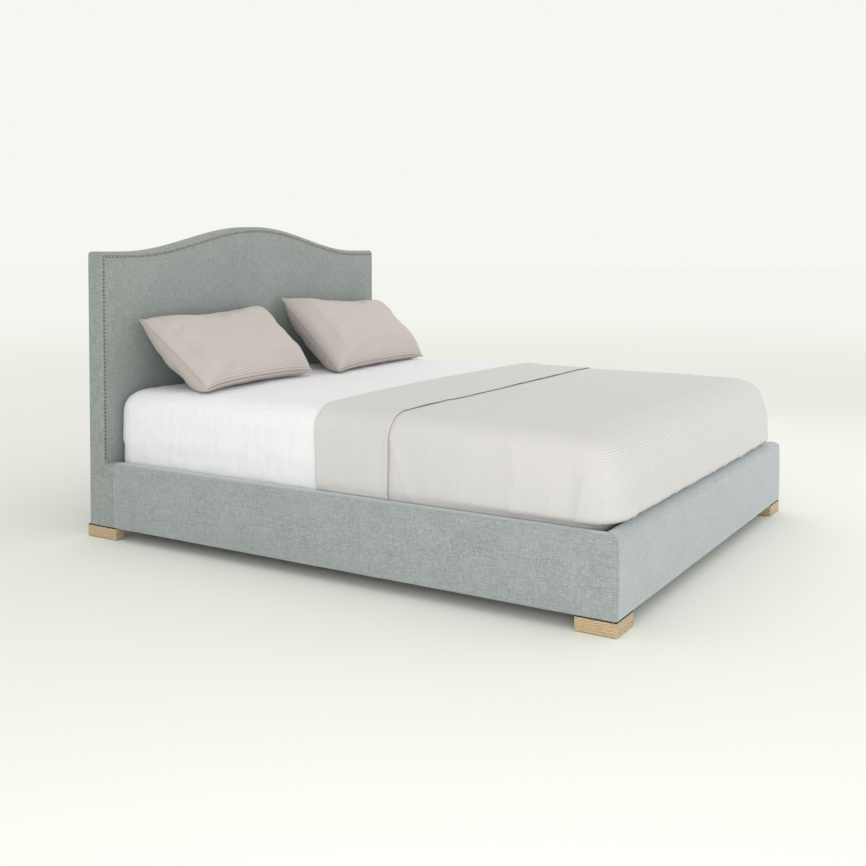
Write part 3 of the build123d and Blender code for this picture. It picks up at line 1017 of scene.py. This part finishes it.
        columns = [float(i) for i in range(len(rim))]
        bm = mapped_grid(columns, fine_ended(-self.half, self.half, self.stride, self.crowded), put)
        close_up(bm)
        return make_piece(
            "foot_rail_upholstery",
            bm,
            LINEN,
            Body.FRAME,
            ["foot_rail_cover", "foot_rail_foam"],
            sharp=60,
        )

    def build(self) -> None:
        """Makes the rails' and cheeks' covers."""
        seam, back = self.seam - self.foot, self.back - self.foot
        for side in Side:
            word = side.word
            nodes = [f"side_rail_cover_{word}", f"side_rail_foam_{word}"]
            rail = self.side_strip(f"side_rail_upholstery_{word}", side, 0.0, seam, LINEN, nodes)
            name, nodes = f"cheek_upholstery_{word}", [f"cheek_cover_{word}"]
            # the cheeks wear the head end's linen, painted darker as shade
            cheek = self.side_strip(name, side, seam, back, HEAD_END_SHADED_LINEN, nodes)
        self.foot_strip()


# -------------------------------------------------------------------- bedding


@dataclass(frozen=True)
class SoftBox:
    """A mattress-like box with a rounded top edge, and cloth laid over it."""

    half: float
    foot: float
    head: float
    top: float
    edge: float
    square: float = 3.0

    @property
    def bend(self) -> float:
        """Length of cloth that goes round the top edge."""
        return self.edge * math.pi / 2

    def drop_to(self, z: float) -> float:
        """Length of cloth from where the edge starts to bend down to a height.

        Args:
            z: The height that the cloth reaches.

        Returns:
            The length in metres.
        """
        return self.bend + self.top - self.edge - z

    def wrap(self, s: float, t: float, out: float) -> Point:
        """Lays a point of flat cloth on the box.

        Args:
            s: Place across the cloth, 0 in the middle.
            t: Place along the cloth, as y on the top.
            out: How far the cloth stands off the box there.

        Returns:
            The point in space.
        """
        x = min(max(s, self.edge - self.half), self.half - self.edge)
        y = min(max(t, self.foot + self.edge), self.head - self.edge)
        over_x, over_y = s - x, t - y
        reach = max(abs(over_x), abs(over_y))
        if reach < 1e-9:
            return x, y, self.top + out
        share_x, share_y = abs(over_x) / reach, abs(over_y) / reach
        rounding = (share_x**self.square + share_y**self.square) ** (1 / self.square)
        away = Vector((over_x, over_y)) / reach / rounding
        if reach < self.bend:
            turn = reach / self.edge
            flat, up = math.sin(turn), math.cos(turn)
            side, drop = (self.edge + out) * flat, self.edge - (self.edge + out) * up
        else:
            side, drop = self.edge + out, self.edge + reach - self.bend
        return x + away.x * side, y + away.y * side, self.top - drop

    def depth(self, s: float, t: float) -> float:
        """Length of cloth from the flat top to a point, 0 on the top."""
        over_x = max(0.0, abs(s) - self.half + self.edge)
        over_y = max(0.0, t - self.head + self.edge, self.foot + self.edge - t)
        return max(over_x, over_y)


@dataclass(frozen=True)
class Bedding:
    """The mattress, its fitted sheet, the bedspread and the band turned down at its head."""

    half: float = 893.5 * MM
    foot: float = -1060.5 * MM
    head: float = 1042.5 * MM
    top: float = 596.5 * MM
    low: float = 292.5 * MM
    edge: float = 80 * MM
    cloth_low: float = 299 * MM
    rail_top: float = 308 * MM
    hem: float = -285 * MM
    fold: float = 30 * MM
    crown: float = 11 * MM
    foot_lean: float = 66 * MM
    side_lean: float = 4 * MM
    more_lean: float = 22 * MM  # added to the side's lean towards the foot
    cut_away: float = 0.77  # share of a corner square of cloth that is not there
    sheet_cloth: float = 0.7 * MM
    spread_cloth: float = 1.2 * MM
    band_cloth: float = 1.8 * MM
    roll: float = 5.5 * MM  # radius of the rolled fold
    rest_gap: float = 6 * MM
    tucked_stand: float = 5.8 * MM
    band_tucked: float = 12.4 * MM

    @property
    def box(self) -> SoftBox:
        """The mattress's own shape."""
        return SoftBox(self.half, self.foot, self.head, self.top, self.edge)

    def make_mattress(self) -> None:
        """Makes the mattress: its rounded top, its sides and its flat bottom."""
        box = self.box
        reach = box.drop_to(self.low)
        round_places = [box.bend * f for f in (0, 0.2, 0.4, 0.6, 0.8, 1.0)] + [reach * 0.7, reach]
        inner = self.half - self.edge
        across = hanging(-inner, inner, 0.12, round_places)
        along = hanging(self.foot + self.edge, self.head - self.edge, 0.12, round_places)

        def put(s: float, t: float) -> Point:
            """Lays a point of the ticking on the mattress."""
            return box.wrap(s, t, 0.0)

        bm = mapped_grid(across, along, put)
        close_up(bm)
        piece = make_piece(
            "mattress_ticking",
            bm,
            TICKING,
            Body.MATTRESS,
            ["mattress_core", "mattress_topper"],
            sharp=60,
        )

    def sheet_stand(self, s: float, t: float) -> float:
        """How far the fitted sheet stands off the mattress at a flat place."""
        depth = self.box.depth(s, t)
        shown = ease(t, -0.12, 0.06)
        on_side = ease(depth, 0.03, 0.09)
        along = t if abs(s) > self.half - self.edge else s
        pleats = 0.15 * MM * ripple(along * 30, depth * 6, 7)
        pleats += 2.2 * MM * crease(along * 5, depth * 9, 2, 6)
        puff = 3.6 * MM * crease(s * 5 + t * 2, t * 4 - s, 5, 7)
        puff += 1.2 * MM * ripple(s * 4, t * 4, 9)
        low_fold = 3.4 * MM * crease(along * 7, depth * 16, 4, 6) * ease(depth, 0.2, 0.3)
        free = ease(depth, 0.05, 0.16) * (1 - ease(depth, 0.22, 0.29))
        barrel = 5.0 * MM * free * shown
        loose = (pleats + low_fold) * on_side + puff * (1 - on_side) * 0.7
        stand = 1.6 * MM + barrel + shown * loose
        return max(0.6 * MM, min(9.5 * MM if free > 0.3 else 4.2 * MM, stand))

    def make_sheet(self) -> None:
        """Stretches the fitted sheet over the whole mattress."""
        box = self.box
        reach = box.drop_to(self.low)
        inner = self.half - self.edge

        def put(s: float, t: float) -> Point:
            """Lays a point of the sheet on the mattress."""
            return box.wrap(s, t, self.sheet_stand(s, t))

        side = spread(0.0, reach, 12 * MM)
        across = hanging(-inner, inner, 15 * MM, side)
        low_y, high_y, from_y = self.foot + self.edge, self.head - self.edge, -0.1
        hidden = spread(0.0, reach, 30 * MM)
        rough = [low_y - r for r in reversed(hidden)] + spread(low_y, from_y, 60 * MM)[1:]
        fine = spread(from_y, high_y, 9.5 * MM)[1:] + [high_y + r for r in side[1:]]
        bm = mapped_grid(across, rough + fine, put)
        piece = make_piece("sheet_fitted", bm, PERCALE, Body.MATTRESS, ["fitted_sheet"])
        thicken(piece, self.sheet_cloth)

    def swell(self, s: float, t: float) -> float:
        """Softly raised middle of the made bed, under the bedspread."""
        across = max(0.0, 1 - (s / (self.half - 0.02)) ** 2)
        along = ease(t, self.foot + 0.02, self.foot + 0.5) * (1 - ease(t, -0.02, 0.2) * 0.6)
        return self.crown * across**0.6 * along

    @property
    def stop(self) -> float:
        """Length of cloth down to where it folds in on the rails."""
        return self.box.drop_to(self.rail_top + self.rest_gap)

    def tuck(self, depth: float) -> float:
        """Share of the way in over the rails, at a length of cloth from the flat top."""
        return ease(depth, self.stop - 0.012, self.stop + 0.004)

    def overhang(self, s: float, t: float, depth: float) -> float:
        """How far the hanging bedspread leans out over the rails at a flat place.

        Args:
            s: Place across.
            t: Place along.
            depth: Length of cloth from the flat top.

        Returns:
            The distance outwards, nothing where the cloth goes down inside the rails.
        """
        beyond_foot = max(0.0, self.foot + self.edge - t)
        beyond_side = max(0.0, abs(s) - self.half + self.edge)
        turn = math.atan2(beyond_foot, beyond_side) / (math.pi / 2) if depth > 0 else 0.0
        at_side = self.side_lean + self.more_lean * ease(-t, 0.3, 1.05)
        lean = at_side + (self.foot_lean - at_side) * turn
        fold_in = ease(depth, self.stop - 0.022, self.stop + 0.004)
        return lean * ease(depth, 0.03, 0.21) ** 0.8 * (1 - fold_in)

    def spread_stand(self, s: float, t: float) -> float:
        """How far the bedspread stands off the mattress at a flat place."""
        depth = self.box.depth(s, t)
        on_side = ease(depth, 0.03, 0.1)
        along = t if abs(s) > self.half - self.edge else s
        folds = 3.4 * MM * ripple(along * 5.5, depth * 2, 11)
        folds += 6.0 * MM * crease(along * 4.2, depth * 2.2, 12, 10)
        folds += 2.6 * MM * crease(along * 9, depth * 3, 15, 8) * ease(depth, 0.12, 0.3)
        waves = 2.6 * MM * ripple(s * 2.6, t * 3.4, 13)
        waves += 2.6 * MM * crease(s * 1.8, t * 3.2, 14, 12)
        stand = 5.2 * MM + folds * on_side + waves * (1 - on_side) + self.swell(s, t)
        stand = max(4.6 * MM, stand) + self.overhang(s, t, depth)
        return stand + (self.tucked_stand - stand) * self.tuck(depth)

    def make_spread(self) -> None:
        """Lays the bedspread, tucked between the mattress and the rails."""
        box = self.box
        reach = box.drop_to(self.cloth_low)
        inner = self.half - self.edge
        low_y = self.foot + self.edge

        def put(s: float, t: float) -> Point:
            """Lays a point of the bedspread on the mattress."""
            return box.wrap(s, t, self.spread_stand(s, t))

        side = spread(0.0, reach, 11 * MM)
        across = hanging(-inner, inner, 14 * MM, side)
        along = [low_y - r for r in reversed(side)]
        along += spread(low_y, self.fold - 12 * MM, 11 * MM)[1:]
        bm = mapped_grid(across, along, put)
        piece = make_piece(
            "bedspread_cloth", bm, SPREAD_COTTON, Body.BEDSPREAD, ["bedspread"]
        )
        thicken(piece, self.spread_cloth)

    def hem_line(self, s: float) -> float:
        """Place of the turned-down hem along the bed, at a flat place across."""
        middle = max(0.0, 1 - (s / (self.half - 0.03)) ** 2)
        return self.hem - 45 * MM * middle**0.8 + 5 * MM * ripple(s * 5, 3.3)

    def fold_line(self, s: float) -> float:
        """Place of the rolled fold along the bed, at a flat place across."""
        return self.fold + 9 * MM * ripple(s * 3, 8.1)

    def make_turn_down(self) -> None:
        """Turns the band down over the bedspread, with its hem and its rolled fold."""
        box = self.box
        reach = box.drop_to(self.cloth_low + 4 * MM)
        inner = self.half - self.edge
        roll, bends = self.roll, 8
        band, turn, under = 0.31, roll * math.pi, 0.02

        def put(s: float, q: float) -> Point:
            """Lays a point of the band on the bed; q runs from the hem round to the fold."""
            hem, fold = self.hem_line(s), self.fold_line(s)
            depth = max(0.0, abs(s) - inner)
            on_side = ease(depth, 0.05, 0.16)
            base = self.spread_stand(s, hem + min(q, band)) + 2.2 * MM
            if q <= band:
                t = hem + (fold - roll - hem) * q / band
                lift = (2.2 * MM + 6 * MM * on_side) * bell(q, 30 * MM)
                lift -= 0.7 * MM * bell(q - 24 * MM, 3 * MM)
                lift += (2 * roll - 4 * MM) * ease(q, band - 0.07, band)
                soft = 1.5 * MM * ripple(s * 5, q * 7, 21) + 1.4 * MM * crease(s * 3, q * 6, 22, 8)
                lift += soft * (1 - on_side)
            elif q <= band + turn:
                angle = (q - band) / roll
                t = fold - roll + roll * math.sin(angle)
                lift = 2 * roll - 4 * MM - roll * (1 - math.cos(angle))
            else:
                t, lift = fold - roll - (q - band - turn), -4 * MM
            stand = base + max(-1.5 * MM, lift) * (1 - 0.3 * on_side)
            return box.wrap(s, t, stand + (self.band_tucked - stand) * self.tuck(depth))

        side = spread(0.0, reach, 11 * MM)
        across = hanging(-inner, inner, 14 * MM, side)
        places = [q * MM for q in (0, 1.2, 3, 6, 10, 15, 19, 22, 24, 26, 29, 34)]
        places += spread(34 * MM, band, 10 * MM)[1:]
        places += [band + turn * (i + 1) / bends for i in range(bends)] + [band + turn + under]
        bm = mapped_grid(across, places, put)
        nodes = ["bedspread_turn_down"]
        piece = make_piece(
            "bedspread_turned_down", bm, SPREAD_COTTON, Body.BEDSPREAD, nodes
        )
        thicken(piece, self.band_cloth)

    def build(self) -> None:
        """Makes everything that lies on the slats but the pillows."""
        self.make_mattress()
        self.make_sheet()
        self.make_spread()
        self.make_turn_down()


# -------------------------------------------------------------------- pillows


LEFT_CORNERS = (
    (-0.845, 0.609, 0.622),
    (-0.072, 0.668, 0.622),
    (-0.060, 1.015, 0.910),
    (-0.815, 1.015, 0.886),
)
RIGHT_CORNERS = (
    (0.023, 0.593, 0.622),
    (0.867, 0.658, 0.622),
    (0.926, 1.015, 0.890),
    (0.118, 1.015, 0.944),
)
FILLING_FRAMES = 20
FILLING_CLOTH: dict[str, Any] = {
    "quality": 6,
    "mass": 0.25,
    "use_pressure": True,
    "uniform_pressure_force": 3.0,
    "tension_stiffness": 12,
    "compression_stiffness": 12,
    "shear_stiffness": 4,
    "bending_stiffness": 0.12,
}


@dataclass(frozen=True)
class Pillow:
    """A pillow that leans on the headboard, its case sewn with a piped seam."""

    side: Side
    corners: tuple[Point, Point, Point, Point]
    width: float = 800 * MM
    depth: float = 465 * MM
    height: float = 120 * MM
    back_share: float = 1.4
    press: float = 14 * MM
    rest: float = 599.5 * MM
    wall: float = 1052 * MM
    cell: float = 12.5 * MM
    seed: float = 1.0
    columns: int = 30  # cells from the middle to an end
    rows: int = 18
    seam: float = 3.2 * MM  # radius of the sewn edge
    seam_sides: int = 6
    most_filled: float = 26 * MM
    soft: float = 7 * MM

    def flat_point(self, u: float, v: float) -> Point:
        """Puts a point of the upper cloth on the half-filled pillow.

        Args:
            u: Place along the pillow, -1 to 1.
            v: Place across it, -1 to 1.

        Returns:
            The point, with the pillow lying flat round the origin.
        """
        pull_x = 9 * MM * (1 - v * v) * abs(u) ** 3
        pull_y = 8 * MM * (1 - u * u) * abs(v) ** 3
        x = u * (self.width / 2) - math.copysign(pull_x, u)
        y = v * (self.depth / 2) - math.copysign(pull_y, v)
        body = (max(0.0, 1 - abs(u) ** 7) * max(0.0, 1 - abs(v) ** 3.4)) ** 0.5
        lumps = 1 + 0.07 * ripple(u * 2.1, v * 1.7, self.seed)
        lumps += 0.04 * ripple(u * 5, v * 4, self.seed + 4)
        return x, y, self.height * 0.5 * body * lumps

    def make_blank(self) -> BMesh:
        """Returns the two cloths joined at their rim."""
        us = [i / self.columns for i in range(-self.columns, self.columns + 1)]
        vs = [j / self.rows for j in range(-self.rows, self.rows + 1)]
        bm = mapped_grid(us, vs, self.flat_point)
        layer = bm.loops.layers.uv.active
        for face in bm.faces:
            for loop in face.loops:
                u, v = loop[layer].uv
                loop[layer].uv = (u * self.width / 2, v * self.depth / 2)
        made = bmesh.ops.duplicate(bm, geom=[*bm.verts, *bm.edges, *bm.faces])["geom"]
        lower = [g for g in made if isinstance(g, bmesh.types.BMVert)]
        bmesh.ops.scale(bm, vec=(1, 1, -self.back_share), verts=lower)
        bmesh.ops.reverse_faces(bm, faces=[g for g in made if isinstance(g, bmesh.types.BMFace)])
        bmesh.ops.remove_doubles(bm, verts=bm.verts, dist=1e-6)
        return bm

    def rim(self, bm: BMesh) -> list[Vector]:
        """Finds the line where the two cloths meet.

        Args:
            bm: The filled case round the origin.

        Returns:
            The line's points in order round the case.
        """
        layer = bm.loops.layers.uv[CLOTH_UV]
        last_i, last_j = self.columns, self.rows
        places: dict[tuple[int, int], Vector] = {}
        for face in bm.faces:
            for loop in face.loops:
                u, v = loop[layer].uv.x * 2 / self.width, loop[layer].uv.y * 2 / self.depth
                places[(round(u * last_i), round(v * last_j))] = loop.vert.co.copy()
        order = [(i, -last_j) for i in range(-last_i, last_i)]
        order += [(last_i, j) for j in range(-last_j, last_j)]
        order += [(-i, -j) for i, j in order]
        return [places[key] for key in order]

    def sew_edge(self, mesh: bpy.types.Mesh) -> None:
        """Adds the raised sewn edge that runs round the case where its two cloths meet.

        Args:
            mesh: The filled case round the origin, which is changed in place.
        """
        bm = bmesh.new()
        bm.from_mesh(mesh)
        line = self.rim(bm)
        count = len(line)

        def around(run: float, turn: float) -> Point:
            """Puts a point of the tube round its place on the line."""
            k = round(run / self.cell)
            ahead = (line[(k + 1) % count] - line[(k - 1) % count]).normalized()
            out = Vector((ahead.y, -ahead.x, 0.0)).normalized()
            up = ahead.cross(out).normalized()
            angle = 2 * math.pi * turn / self.seam / self.seam_sides
            away = out * math.cos(angle) + up * math.sin(angle)
            x, y, z = line[k % count] + (out * 0.6 + away) * self.seam
            return x, y, z

        runs = [k * self.cell for k in range(count + 1)]
        tube = mapped_grid(runs, [i * self.seam for i in range(self.seam_sides + 1)], around)
        bmesh.ops.remove_doubles(tube, verts=tube.verts, dist=1e-6)
        edge = as_mesh(tube, "sewn_edge")
        bm.from_mesh(edge)
        bpy.data.meshes.remove(edge)
        bmesh.ops.recalc_face_normals(bm, faces=bm.faces)
        bm.to_mesh(mesh)
        bm.free()

    def simulate(self, mesh: bpy.types.Mesh) -> None:
        """Fills the case with air, so that its cloth tightens and wrinkles from the corners.

        Args:
            mesh: The sewn blank, which is changed in place.
        """
        scene = bpy.context.scene
        thing = bpy.data.objects.new("pillow_blank", mesh)
        scene.collection.objects.link(thing)
        cloth = thing.modifiers.new("Filling", "CLOTH")
        for key, value in FILLING_CLOTH.items():
            setattr(cloth.settings, key, value)
        cloth.settings.effector_weights.gravity = 0
        before = [v.co.copy() for v in mesh.vertices]
        for step in range(FILLING_FRAMES):
            scene.frame_set(step + 1)
        graph = bpy.context.evaluated_depsgraph_get()
        filled = thing.evaluated_get(graph).to_mesh()
        after = [v.co.copy() for v in filled.vertices]
        thing.evaluated_get(graph).to_mesh_clear()
        bpy.data.objects.remove(thing)
        scene.frame_set(1)
        for vert, old, new in zip(mesh.vertices, before, after):
            moved = new - old
            if moved.length > self.most_filled:
                moved *= self.most_filled / moved.length
            vert.co = old + moved

    def lean_back(self, mesh: bpy.types.Mesh) -> None:
        """Leans the pillow on the headboard and sets it on the sheet, pressed where it touches.

        Args:
            mesh: The filled pillow round the origin, which is changed in place.
        """
        low_left, low_right, high_right, high_left = (Vector(corner) for corner in self.corners)
        width, depth = (2 * max(abs(vert.co[axis]) for vert in mesh.vertices) for axis in (0, 1))
        places: list[tuple[float, Vector]] = []
        for vert in mesh.vertices:
            u, v = vert.co.x / width + 0.5, vert.co.y / depth + 0.5
            low, high = low_left.lerp(low_right, u), high_left.lerp(high_right, u)
            across = low_right.lerp(high_right, v) - low_left.lerp(high_left, v)
            place = low.lerp(high, v) + across.cross(high - low).normalized() * vert.co.z
            places.append((v, place))
        drop = max(0.0, min(place.z for _, place in places) - self.rest + self.press)
        soft = self.soft
        for vert, (v, place) in zip(mesh.vertices, places):
            place.z -= drop * max(0.0, 1 - v) ** 0.5
            gap = self.wall - place.y
            if gap < soft:
                place.y = self.wall - soft * math.exp(gap / soft - 1)
            gap = place.z - self.rest
            if gap < soft:
                place.z = self.rest + soft * math.exp(gap / soft - 1)
            vert.co = place

    def build(self) -> None:
        """Makes the filled pillow in its ribbed case."""
        word = self.side.word
        bm = self.make_blank()
        bmesh.ops.recalc_face_normals(bm, faces=bm.faces)
        mesh = as_mesh(bm, f"pillow_{word}")
        self.simulate(mesh)
        self.sew_edge(mesh)
        self.lean_back(mesh)
        body = Body.PILLOW_LEFT if self.side is Side.LEFT else Body.PILLOW_RIGHT
        nodes = [f"pillow_case_{word}", f"pillow_filling_{word}"]
        piece = make_piece(f"pillow_{word}_case", mesh, PILLOW_COTTON, body, nodes)
        smooth = piece.modifiers.new("Soft cloth", "SUBSURF")
        smooth.levels = smooth.render_levels = 1


# ---------------------------------------------------- carried-over hard parts


@dataclass(frozen=True)
class Hardware:
    """The parts that keep their CAD shape: feet, nails, boards, slats, beam, legs and fasteners."""

    def finishes(self) -> dict[Finish, list[str]]:
        """Returns each finish with the beginnings of the names of the parts that wear it."""
        return {
            ANTIQUE_BRASS: ["nails_"],
            OAK: ["foot_front_", "foot_rear_"],
            FELT: ["foot_felts"],
            BLACK_PLATE_AND_GAP_SHADOW: ["foot_plates"],
            # black foot plates, partly painted shadow of the gap under the rails
            NYLON: ["glide_", "slat_holders_"],
            BIRCH: ["slats_"],
            POWDER_COAT: ["centre_beam", "centre_leg_", "beam_hanger_"],
            ZINC: ["bed_bolts", "corner_screws"],
            FIBREBOARD: ["headboard_panel", "side_rail_board_", "foot_rail_board"],
            PINE: [
                "headboard_post_",
                "headboard_bottom_rail",
                "headboard_middle_rail",
                "headboard_top_rail",
                "cheek_block_",
                "slat_ledge_",
                "corner_block_",
            ],
        }

    def build(self) -> None:
        """Dresses every CAD node that is still shown."""
        for finish, starts in self.finishes().items():
            for name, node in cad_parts.items():
                if any(name.startswith(start) for start in starts):
                    node.data.materials.clear()
                    node.data.materials.append(dressed(finish))
                    LOG.info("%s: dressed in %s", name, finish.name)


# ---------------------------------------------------------------------- studio


@dataclass(frozen=True)
class Studio:
    """A plain pale floor, soft light from large panels, and the camera."""

    floor: str = "#edeee9"
    far_floor: str = "#fdfdfb"
    near_to: float = 2.0  # the floor's tone changes from here
    far_from: float = 14.0  # to here, in metres from the middle
    sky: str = "#f6f7f2"
    reach: float = 60.0
    lens: float = 46.150
    shift_x: float = 0.0170
    shift_y: float = -0.1694
    yaw: float = 58.176
    pitch: float = 2.0
    eye: Point = (-4.0964, -2.3859, 1.1814)

    def make_floor(self) -> None:
        """Lays the floor."""
        bm = bmesh.new()
        bmesh.ops.create_grid(bm, x_segments=1, y_segments=1, size=self.reach)
        mesh = as_mesh(bm, "studio_floor")
        floor = bpy.data.objects.new("studio_floor", mesh)
        bpy.context.scene.collection.objects.link(floor)
        material, tree = new_material("Paper_backdrop_matt")
        where = add(tree, "TexCoord").outputs["Object"]
        away = add(tree, "VectorMath", {0: where}, operation="LENGTH").outputs["Value"]
        far = level(tree, away, self.near_to, self.far_from)
        tone = blend(tree, far, linear(self.floor), linear(self.far_floor))
        surface(tree, tone, Roughness=1.0, Specular_IOR_Level=0.0)
        mesh.materials.append(material)

    def make_light(
        self, name: str, place: Point, aim: Point, size: float, power: float, colour: str
    ) -> None:
        """Hangs one soft panel.

        Args:
            name: The light's name.
            place: Where it hangs.
            aim: The point that it faces.
            size: Its side, in metres.
            power: Its power in watts.
            colour: Its colour as sRGB hex.
        """
        lamp = bpy.data.lights.new(name, "AREA")
        lamp.size = size
        lamp.energy = power
        lamp.color = linear(colour)[:3]
        thing = bpy.data.objects.new(name, lamp)
        thing.location = place
        thing.rotation_euler = (Vector(aim) - Vector(place)).to_track_quat("-Z", "Y").to_euler()
        bpy.context.scene.collection.objects.link(thing)

    def make_camera(self) -> None:
        """Sets the camera up."""
        camera = bpy.data.cameras.new("camera")
        camera.sensor_width = 36
        camera.lens = self.lens
        camera.shift_x, camera.shift_y = self.shift_x, self.shift_y
        camera.clip_end = 200
        thing = bpy.data.objects.new("camera", camera)
        thing.location = self.eye
        thing.rotation_euler = (math.radians(90 - self.pitch), 0, -math.radians(self.yaw))
        bpy.context.scene.collection.objects.link(thing)
        bpy.context.scene.camera = thing

    def build(self) -> None:
        """Sets up floor, light and camera."""
        self.make_floor()
        world = bpy.data.worlds.new("studio")
        world.use_nodes = True
        sky = world.node_tree.nodes["Background"]
        sky.inputs["Color"].default_value = linear(self.sky)
        sky.inputs["Strength"].default_value = 1.0
        bpy.context.scene.world = world
        self.make_light("foot_panel", (1.4, -3.9, 0.7), (0.2, -1.0, 0.2), 2.0, 26, "#f8f8ff")
        self.make_light("side_panel", (-4.3, -2.6, 1.1), (-0.5, -0.4, 0.5), 2.2, 62, "#ffffff")
        self.make_light("back_panel", (2.7, 0.3, 2.5), (0.3, -0.4, 0.6), 2.0, 13, "#ffffff")
        bpy.context.scene.view_settings.view_transform = "Standard"
        self.make_camera()


# ------------------------------------------------------------------------ main


def main() -> None:
    """Builds the bed's looks, sub-assembly by sub-assembly."""
    logging.basicConfig(level=logging.INFO, format="%(name)s: %(message)s")
    Studio().build()
    Headboard().build()
    Rails().build()
    Bedding().build()
    Pillow(Side.LEFT, LEFT_CORNERS, width=780 * MM, depth=485 * MM, seed=1.0).build()
    Pillow(Side.RIGHT, RIGHT_CORNERS, width=840 * MM, depth=520 * MM, seed=6.0).build()
    Hardware().build()


if __name__ == "__main__":
    main()
